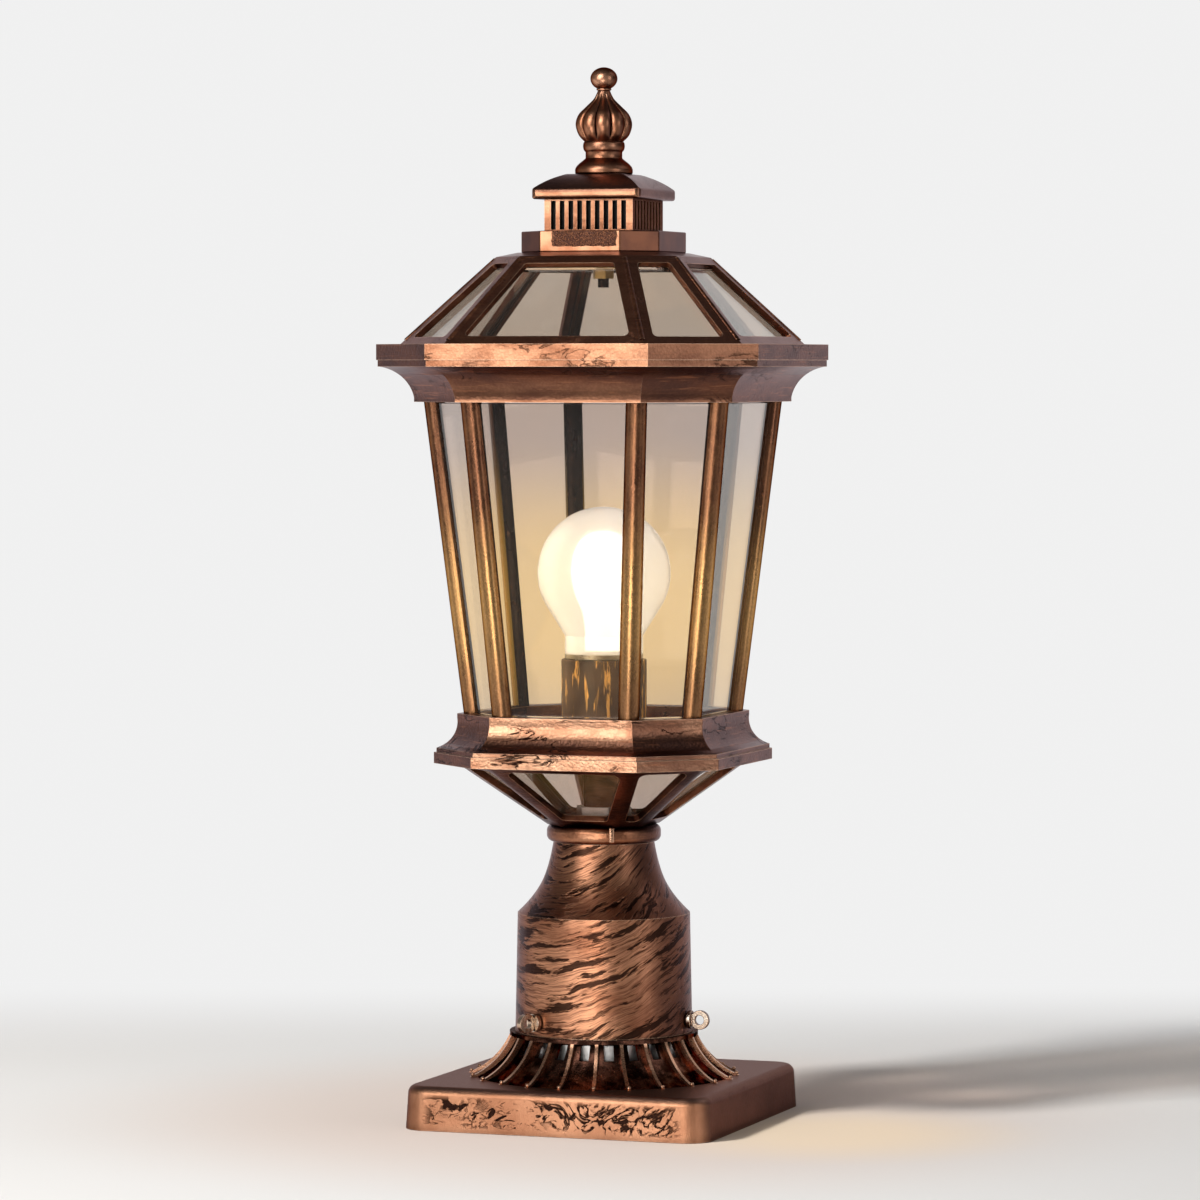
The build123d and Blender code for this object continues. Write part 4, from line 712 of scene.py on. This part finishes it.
GAUZE_BLACK = moulded("gauze_black", (0.010, 0.008, 0.007, 1), 0.70)
CELL_WRAP = moulded("cell_wrap", (0.05, 0.16, 0.32, 1), 0.30)
BOARD_GREEN = moulded("board_green", (0.02, 0.12, 0.05, 1), 0.38)
LIGHT_BOARD_WHITE = moulded("light_board_white", (0.80, 0.80, 0.78, 1), 0.40)
LEAD_COVER = moulded("lead_cover", (0.28, 0.02, 0.02, 1), 0.40)


# Pieces
SOLID_WELD = 2e-6
TURNED_WELD = 1e-6
FLAT_ANGLE = radians(1.0)
CORNER_ANGLE = radians(28)
SMOOTH_ANGLE = 35


def hand_in(piece, node, finishes, body=None):
    """Gives a finished piece its finishes, hides the solid it stands for, and attaches it to the body it
    moves with.
    """
    for finish in finishes:
        piece.data.materials.append(finish)
    if node:
        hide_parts(node)
    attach(piece, body or BODY_OF[node])
    return piece


def made(name, work, smooth_angle=SMOOTH_ANGLE):
    """Turns a finished bmesh into a piece at the origin, smooth up to an angle."""
    mesh = bpy.data.meshes.new(name)
    work.to_mesh(mesh)
    work.free()
    for face in mesh.polygons:
        face.use_smooth = True
    mesh.set_sharp_from_angle(angle=radians(smooth_angle))
    piece = bpy.data.objects.new(name, mesh)
    bpy.context.scene.collection.objects.link(piece)
    return piece


def eased(node, width, segments=2):
    """Merged copy of a solid's mesh with every corner edge eased, as a casting comes out of the sand."""
    work = bmesh.new()
    work.from_mesh(frame["nodes"][node].data)
    bmesh.ops.remove_doubles(work, verts=work.verts, dist=SOLID_WELD)
    bmesh.ops.dissolve_limit(work, angle_limit=FLAT_ANGLE, verts=work.verts, edges=work.edges)
    edges = [edge for edge in work.edges if edge.is_manifold and edge.calc_face_angle() > CORNER_ANGLE]
    bmesh.ops.bevel(
        work,
        geom=edges,
        offset=width,
        offset_type="OFFSET",
        affect="EDGES",
        segments=segments,
        profile=0.5,
        material=-1,
        clamp_overlap=True,
    )
    for layer in list(work.loops.layers.uv):
        work.loops.layers.uv.remove(layer)
    for face in work.faces:
        face.material_index = 0
    return work


def weigh(piece):
    """Keeps the flats flat beside their eased edges."""
    weighted = piece.modifiers.new("flats", "WEIGHTED_NORMAL")
    weighted.keep_sharp = True
    return piece


def turned(line, steps):
    """Closed piece turned on the lantern's axis from a line of (radius, height) points in millimetres."""
    work = bmesh.new()
    points = [work.verts.new((radius * MM, 0, height * MM)) for radius, height in line]
    edges = [work.edges.new(pair) for pair in zip(points, points[1:])]
    bmesh.ops.spin(
        work,
        geom=points + edges,
        cent=(0, 0, 0),
        axis=(0, 0, 1),
        dvec=(0, 0, 0),
        angle=2 * pi,
        steps=steps,
        use_merge=True,
        use_duplicate=False,
    )
    bmesh.ops.remove_doubles(work, verts=work.verts, dist=TURNED_WELD)
    return work


def flowing(points, between_points=6):
    """Smooth line through points, with more points between them."""
    line = []
    last = len(points) - 1
    for index in range(last):
        before, start = points[max(index - 1, 0)], points[index]
        end, after = points[index + 1], points[min(index + 2, last)]
        for step in range(between_points):
            t = step / between_points
            line.append(
                tuple(
                    0.5
                    * (
                        2 * start[axis]
                        + (end[axis] - before[axis]) * t
                        + (2 * before[axis] - 5 * start[axis] + 4 * end[axis] - after[axis]) * t * t
                        + (3 * start[axis] - before[axis] - 3 * end[axis] + after[axis]) * t * t * t
                    )
                    for axis in (0, 1)
                )
            )
    line.append(points[last])
    return line


CASTINGS = (
    ("base_plate", 0.8, BASE_COPPER),
    ("fitter", 0.5, FITTER_COPPER),
    ("neck_collar", 0.4, NECK_COPPER),
    ("basket_frame", 0.55, BASKET_COPPER),
    ("lower_ring", 0.45, RING_COPPER),
    ("crown_ring", 0.40, CROWN_COPPER),
    ("roof_frame", 0.7, ROOF_COPPER),
    ("vent_collar", 0.6, COLLAR_COPPER),
    ("vent_box", 0.25, SLAT_COPPER),
    ("vent_cap", 0.4, CAP_COPPER),
)
for node, width, finish in CASTINGS:
    casting = made(f"{node}_cast", eased(node, width * MM))
    weigh(hand_in(casting, node, [finish]))

POST_COUNT = 8
POST_EASE = 0.25 * MM
for index in range(1, POST_COUNT + 1):
    node = f"cage_post_{index}"
    post = made(f"{node}_drawn", eased(node, POST_EASE))
    weigh(hand_in(post, node, [POST_COPPER]))

SCREW_COUNT = 3
SCREW_EASE = 0.45 * MM
for index in range(1, SCREW_COUNT + 1):
    node = f"thumb_screw_{index}"
    screw = made(f"{node}_eye", eased(node, SCREW_EASE, 3))
    weigh(hand_in(screw, node, [SCREW_BRONZE]))

HOLDER_EASE = 0.6 * MM
holder = made("lampholder_cup", eased("lampholder", HOLDER_EASE))
weigh(hand_in(holder, "lampholder", [HOLDER_BROWN]))


# Skirt: bright fin edges, wear with a painted highlight, and rounded fin feet on a dark bowl, whose arc has
# points of (radius, height) in mm
BOWL_FOOT = (59.4, 20.0)
BOWL_MIDDLE = (45.1, 30.5)
BOWL_HEAD = (39.6, 40.2)
SKIRT_EASE = 0.22 * MM
FIN_COUNT = 24
FIN_EDGE = 2.75
FIN_TOP = 38.0
FIN_FOOT_SIZE = 0.95 * MM
FIN_FOOT_REACH = 61.1 * MM
FIN_FOOT_HEIGHT = 20.9 * MM


def bowl_radius(height):
    """Radius of the bowl between the fins at a height, from the arc it is turned on."""
    spans = [
        (far[0] - near[0], far[1] - near[1], (far[0] ** 2 + far[1] ** 2 - near[0] ** 2 - near[1] ** 2) / 2)
        for near, far in ((BOWL_FOOT, BOWL_MIDDLE), (BOWL_MIDDLE, BOWL_HEAD))
    ]
    (low_r, low_z, low_sum), (high_r, high_z, high_sum) = spans
    spread = low_r * high_z - low_z * high_r
    centre_r = (low_sum * high_z - low_z * high_sum) / spread
    centre_z = (low_r * high_sum - low_sum * high_r) / spread
    arc = hypot(BOWL_FOOT[0] - centre_r, BOWL_FOOT[1] - centre_z)
    return centre_r - sqrt(max(arc * arc - (height - centre_z) ** 2, 0.0))


skirt_work = eased("skirt", SKIRT_EASE)
for face in skirt_work.faces:
    middle = face.calc_center_median() / MM
    stands_out = hypot(middle.x, middle.y) - bowl_radius(middle.z)
    # The fin edges take the bright finish: wear with a painted highlight
    face.material_index = 1 if stands_out > FIN_EDGE and middle.z < FIN_TOP else 0
skirt = made("skirt_fins", skirt_work)
weigh(hand_in(skirt, "skirt", [CHANNEL_COPPER, FIN_COPPER]))

feet_work = bmesh.new()
for index in range(FIN_COUNT):
    foot = bmesh.ops.create_uvsphere(feet_work, u_segments=16, v_segments=10, radius=FIN_FOOT_SIZE)["verts"]
    spot = at_turn(2 * pi * index / FIN_COUNT, FIN_FOOT_REACH, FIN_FOOT_HEIGHT)
    bmesh.ops.translate(feet_work, verts=foot, vec=spot)
hand_in(made("skirt_fin_feet", feet_work), None, [FIN_COPPER], "base")

# Finial: lobed onion between turned rings, under a flattened ball; (radius, height) in millimetres
FOOT_LINE = [(0, 432.62), (12.5, 432.62), (13.05, 432.9), (13.2, 433.5), (13.2, 434.6)]
FOOT_LINE += flowing([(13.2, 434.9), (12.6, 436.2), (11.2, 437.7), (9.7, 438.9), (8.5, 439.9)])
FOOT_LINE += [(8.4, 440.2), (8.4, 442.8)]
BEAD_LINE = flowing([(8.5, 442.9), (9.2, 443.8), (9.55, 445.3), (9.4, 446.8), (8.9, 447.6)])
ONION_LINE = flowing(
    [
        (9.1, 447.8),
        (11.9, 450.6),
        (13.3, 455.4),
        (11.95, 459.8),
        (8.35, 463.5),
        (4.75, 467.1),
        (2.75, 470.85),
    ],
    10,
)
RING_LINE = [(3.2, 470.95), (3.4, 471.2), (3.4, 471.6), (3.2, 471.8)]
BALL_RADIUS = 6.2
BALL_RISE = 5.2
BALL_MIDDLE = 476.3
BALL_LINE = [
    (BALL_RADIUS * cos(radians(turn)), BALL_MIDDLE + BALL_RISE * sin(radians(turn)))
    for turn in range(-60, 90, 6)
] + [(0, BALL_MIDDLE + BALL_RISE)]
FINIAL_STEPS = 200
FINIAL_SMOOTH_ANGLE = 50
LOBES = 10
LOBE_DEPTH = 0.16
LOBE_ROUNDNESS = 0.5
LOBE_FOOT, LOBE_HEAD = 447.8, 470.6
LOBE_FOOT_FADE, LOBE_HEAD_FADE = 2.5, 4.0
finial_work = turned(FOOT_LINE + BEAD_LINE + ONION_LINE + RING_LINE + BALL_LINE, FINIAL_STEPS)
for point in finial_work.verts:
    height = point.co.z / MM
    if LOBE_FOOT < height < LOBE_HEAD:
        turn = atan2(point.co.x, -point.co.y)
        crest = abs(sin(LOBES / 2 * turn)) ** LOBE_ROUNDNESS
        ends = min(1.0, (height - LOBE_FOOT) / LOBE_FOOT_FADE, (LOBE_HEAD - height) / LOBE_HEAD_FADE)
        draw_in = 1.0 - LOBE_DEPTH * (1.0 - crest) * ends
        point.co.x *= draw_in
        point.co.y *= draw_in
bmesh.ops.recalc_face_normals(finial_work, faces=finial_work.faces)
hand_in(made("finial_turned", finial_work, FINIAL_SMOOTH_ANGLE), "finial", [FINIAL_COPPER])

# Bulb: the glowing diffuser inside the frosted glass
DIFFUSER_SIDE = [
    (8.4, 216), (8.4, 224), (9.4, 232), (12.6, 240), (14.6, 249), (14.0, 258), (11.0, 265), (6.0, 269)
]
DIFFUSER_STEPS = 64
DIFFUSER_SMOOTH_ANGLE = 60
core_work = turned([(0, 215.4), (8.2, 215.4)] + flowing(DIFFUSER_SIDE) + [(0, 270.3)], DIFFUSER_STEPS)
bmesh.ops.recalc_face_normals(core_work, faces=core_work.faces)
hand_in(made("bulb_diffuser", core_work, DIFFUSER_SMOOTH_ANGLE), None, [BULB_LIGHT], "bulb")

# Roof: a cast bead along every hip
HIP_CORNERS = (-30, 30, 60, 120, 150, 210, 240, 300)
HIP_LOW = (91.4 * MM, 356.4 * MM)
HIP_HIGH = (50.2 * MM, 393.4 * MM)
BEAD_LOW_RADIUS = 1.45 * MM
BEAD_HIGH_RADIUS = 1.25 * MM
beads_work = bmesh.new()
for corner in HIP_CORNERS:
    low = at_turn(radians(corner), *HIP_LOW)
    high = at_turn(radians(corner), *HIP_HIGH)
    bead = bmesh.ops.create_cone(
        beads_work,
        cap_ends=True,
        segments=20,
        radius1=BEAD_LOW_RADIUS,
        radius2=BEAD_HIGH_RADIUS,
        depth=(high - low).length,
    )["verts"]
    lean = (high - low).to_track_quat("Z", "Y").to_matrix().to_4x4()
    bmesh.ops.transform(beads_work, matrix=lean, verts=bead)
    bmesh.ops.translate(beads_work, verts=bead, vec=(low + high) / 2)
hand_in(made("roof_hip_beads", beads_work), None, [BEAD_COPPER], "roof")

# Vent box: the dark gauze behind its slats
GAUZE_SIZE = (37.6 * MM, 37.6 * MM, 14.2 * MM)
GAUZE_MIDDLE = 413.65 * MM
GAUZE_THICKNESS = 0.4 * MM
screen_work = bmesh.new()
bmesh.ops.create_cube(screen_work, size=1.0)
bmesh.ops.delete(
    screen_work, geom=[face for face in screen_work.faces if abs(face.normal.z) > 0.5], context="FACES"
)
bmesh.ops.scale(screen_work, verts=screen_work.verts, vec=GAUZE_SIZE)
bmesh.ops.translate(screen_work, verts=screen_work.verts, vec=(0, 0, GAUZE_MIDDLE))
bmesh.ops.solidify(screen_work, geom=screen_work.faces[:], thickness=GAUZE_THICKNESS)
bmesh.ops.recalc_face_normals(screen_work, faces=screen_work.faces)
hand_in(made("vent_gauze", screen_work), None, [GAUZE_BLACK], "roof")

# Neck collar: the small upright clip below the basket's front bar
CLIP_SIZE = (2.4 * MM, 2.0 * MM, 7.0 * MM)
CLIP_EASE = 0.6 * MM
CLIP_TURN = radians(27)
CLIP_REACH = 26.0 * MM
CLIP_HEIGHT = 132.0 * MM
clip_work = bmesh.new()
bmesh.ops.create_cube(clip_work, size=1.0)
bmesh.ops.scale(clip_work, verts=clip_work.verts, vec=CLIP_SIZE)
bmesh.ops.bevel(
    clip_work,
    geom=clip_work.edges[:],
    offset=CLIP_EASE,
    affect="EDGES",
    segments=3,
    profile=0.5,
    material=-1,
)
clip_lie = Matrix.Rotation(CLIP_TURN, 3, "Z")
bmesh.ops.rotate(clip_work, verts=clip_work.verts, cent=(0, 0, 0), matrix=clip_lie)
bmesh.ops.translate(clip_work, verts=clip_work.verts, vec=at_turn(CLIP_TURN, CLIP_REACH, CLIP_HEIGHT))
hand_in(made("neck_clip", clip_work), None, [FIN_COPPER], "head")


# Finishes of the solids that stay as they are
def finish_solids(finish, *nodes):
    """Gives solids that are shown unchanged their finish."""
    for name in nodes:
        solid = frame["nodes"][name]
        solid.data.materials.clear()
        solid.data.materials.append(finish)


SIDE_NAMES = [f"{kind}_{index}" for kind in ("wide", "narrow") for index in range(1, 5)]
finish_solids(PANE_GLASS, "basket_panes", *[f"body_pane_{side}" for side in SIDE_NAMES])
finish_solids(ROOF_GLASS, *[f"roof_pane_{side}" for side in SIDE_NAMES])
finish_solids(BARE_ALUMINIUM, "post_stub")
finish_solids(PLATED_STEEL, "flange_bolts", "stem_nuts", "cage_screws")
finish_solids(STEM_COPPER, "lamp_stem", "roof_bridge", "roof_rod")
finish_solids(INSULATOR_WHITE, "socket_insulator")
finish_solids(CONTACT_BRASS, "socket_shell", "centre_contact", "bulb_contact", "rod_nut")
finish_solids(CAP_ALUMINIUM, "bulb_cap")
finish_solids(BULB_FROST, "bulb_glass")
finish_solids(LIGHT_BOARD_WHITE, "light_board")
finish_solids(TRAY_BLACK, "battery_tray")
finish_solids(CELL_WRAP, "battery_cells")
finish_solids(BOARD_GREEN, "controller_board")
finish_solids(LEAD_COVER, "lamp_leads")


# Light, floor and camera, in metres
VIEW_TURN = radians(19.4)
VIEW_DISTANCE = 2.531
VIEW_HEIGHT = 0.3448
AIM_ASIDE = 1.8 * MM
AIM_HEIGHT = 0.238
SENSOR_WIDTH = 36.0
LENS = 165.75
VIEW_END = 50
MIRROR_TURN = radians(199)
FLOOR_RADIUS = 6.0
SPILL_PLACE = (0.115, -0.02, 0)


def box_lamp(name, azimuth, distance, height, size, strength, colour, aim=0.25):
    """Soft box lamp that stands round the lantern, aimed at a height on its axis, and isn't seen itself."""
    lamp = bpy.data.lights.new(name, "AREA")
    lamp.shape = "RECTANGLE"
    lamp.size, lamp.size_y = size
    lamp.energy = strength
    lamp.color = colour
    stand = bpy.data.objects.new(name, lamp)
    stand.location = at_turn(radians(azimuth), distance, height)
    stand.rotation_euler = (Vector((0, 0, aim)) - stand.location).to_track_quat("-Z", "Y").to_euler()
    stand.visible_camera = False
    bpy.context.scene.collection.objects.link(stand)
    return stand


key = box_lamp(
    "key_lamp",
    azimuth=-37,
    distance=1.84,
    height=1.80,
    size=(0.36, 0.36),
    strength=64,
    colour=(1.0, 0.97, 0.93),
)
key.visible_glossy = False
box_lamp(
    "front_lamp",
    azimuth=-20,
    distance=2.20,
    height=0.72,
    size=(1.05, 1.6),
    strength=16.0,
    colour=(1.0, 0.98, 0.95),
    aim=0.35,
)
strip = box_lamp(
    "strip_lamp",
    azimuth=8,
    distance=0.62,
    height=0.13,
    size=(0.24, 0.22),
    strength=0.75,
    colour=(1.0, 0.96, 0.90),
)
glint = box_lamp(
    "glint_lamp",
    azimuth=-10,
    distance=0.35,
    height=0.66,
    size=(0.20, 0.24),
    strength=0.55,
    colour=(1.0, 0.97, 0.94),
    aim=0.46,
)
for gloss_only in (strip, glint):
    gloss_only.visible_diffuse = False
    gloss_only.visible_transmission = False
box_lamp(
    "right_lamp",
    azimuth=72,
    distance=2.00,
    height=0.50,
    size=(0.5, 1.1),
    strength=3.4,
    colour=(1.0, 0.98, 0.97),
)
box_lamp(
    "back_lamp",
    azimuth=122,
    distance=1.70,
    height=1.75,
    size=(1.1, 1.1),
    strength=4,
    colour=(0.97, 0.97, 1.0),
)


def studio_world():
    """White room, which shiny pieces mirror as dim in front of the lantern and bright behind it."""
    world = bpy.data.worlds.new("studio")
    world.use_nodes = True
    tree = world.node_tree
    tree.nodes.clear()
    tree.nodes.new("ShaderNodeOutputWorld")
    room = tree.nodes.new("ShaderNodeBackground")
    room.inputs["Color"].default_value = (1.0, 0.99, 0.99, 1)
    room.inputs["Strength"].default_value = 0.18
    backdrop = tree.nodes.new("ShaderNodeBackground")
    backdrop.inputs["Color"].default_value = BACKDROP_WHITE
    sight = tree.nodes.new("ShaderNodeTexCoord").outputs["Generated"]
    away = from_vectors(tree, "DOT_PRODUCT", sight, at_turn(MIRROR_TURN, 1.0))
    overhead = between(tree, axes(tree, sight)[Z], 0.30, 0.85, 1.0, 0.45)
    dim = times(tree, between(tree, away, 0.30, 0.97, 0.20, 1.0), overhead)
    mirrored = in_mirror(tree)
    plain = number(tree, "SUBTRACT", 1.0, mirrored)
    strength = number(tree, "ADD", plain, times(tree, mirrored, dim))
    tree.links.new(strength, backdrop.inputs["Strength"])
    choose(tree, looked_at(tree), room.outputs["Background"], backdrop.outputs["Background"])
    return world


def floor_white(name):
    """White floor that fades into the backdrop, with painted warm shade round the lantern and a painted pool
    of the bulb's light where it spills.
    """
    finish, tree, place, surface = start_finish(name)
    reach = from_vectors(tree, "DISTANCE", place, (0, 0, 0))
    depth = from_vectors(tree, "DOT_PRODUCT", place, at_turn(VIEW_TURN, -1.0))
    # Painted warm shade round the lantern
    warm = between(tree, reach, 0.10, 0.30, 1.0, 0.0)
    ground = colours(tree, warm, (0.765, 0.765, 0.765, 1), (0.715, 0.63, 0.585, 1))
    # Painted pool of the bulb's light
    spill = between(tree, from_vectors(tree, "DISTANCE", place, SPILL_PLACE), 0.02, 0.11, 0.8, 0.0)
    ground = colours(tree, spill, ground, (0.88, 0.72, 0.53, 1))
    speckle = between(tree, cloud(tree, place, 300, 3, 0.6), 0.3, 0.7, 0.0, 0.04)
    tree.links.new(colours(tree, speckle, ground, (0.7, 0.7, 0.7, 1)), surface.inputs["Base Color"])
    surface.inputs["Roughness"].default_value = 0.75
    surface.inputs["Specular IOR Level"].default_value = 0.0
    far = number(tree, "MAXIMUM", between(tree, reach, 0.45, 0.95), between(tree, depth, 0.20, 0.55))
    in_front = times(tree, in_mirror(tree), between(tree, depth, -0.50, -0.12, 1.0, 0.0))
    far = number(tree, "MAXIMUM", far, in_front)
    glow = tree.nodes.new("ShaderNodeEmission")
    glow.inputs["Color"].default_value = BACKDROP_WHITE
    tree.links.new(number(tree, "SUBTRACT", 1.0, times(tree, in_front, 0.75)), glow.inputs["Strength"])
    choose(tree, times(tree, far, looked_at(tree)), surface.outputs["BSDF"], glow.outputs["Emission"])
    return finish


bpy.context.scene.world = studio_world()

floor_work = bmesh.new()
bmesh.ops.create_circle(floor_work, cap_ends=True, segments=96, radius=FLOOR_RADIUS)
floor = made("floor", floor_work)
floor.data.materials.append(floor_white("floor_white"))

camera_data = bpy.data.cameras.new("camera")
camera_data.sensor_width = SENSOR_WIDTH
camera_data.lens = LENS
camera_data.clip_end = VIEW_END
camera = bpy.data.objects.new("camera", camera_data)
camera.location = at_turn(VIEW_TURN, VIEW_DISTANCE, VIEW_HEIGHT)
aim = at_turn(VIEW_TURN - pi / 2, AIM_ASIDE, AIM_HEIGHT)
camera.rotation_euler = (aim - camera.location).to_track_quat("-Z", "Y").to_euler()
bpy.context.scene.collection.objects.link(camera)
bpy.context.scene.camera = camera
bpy.context.scene.view_settings.view_transform = "Standard"
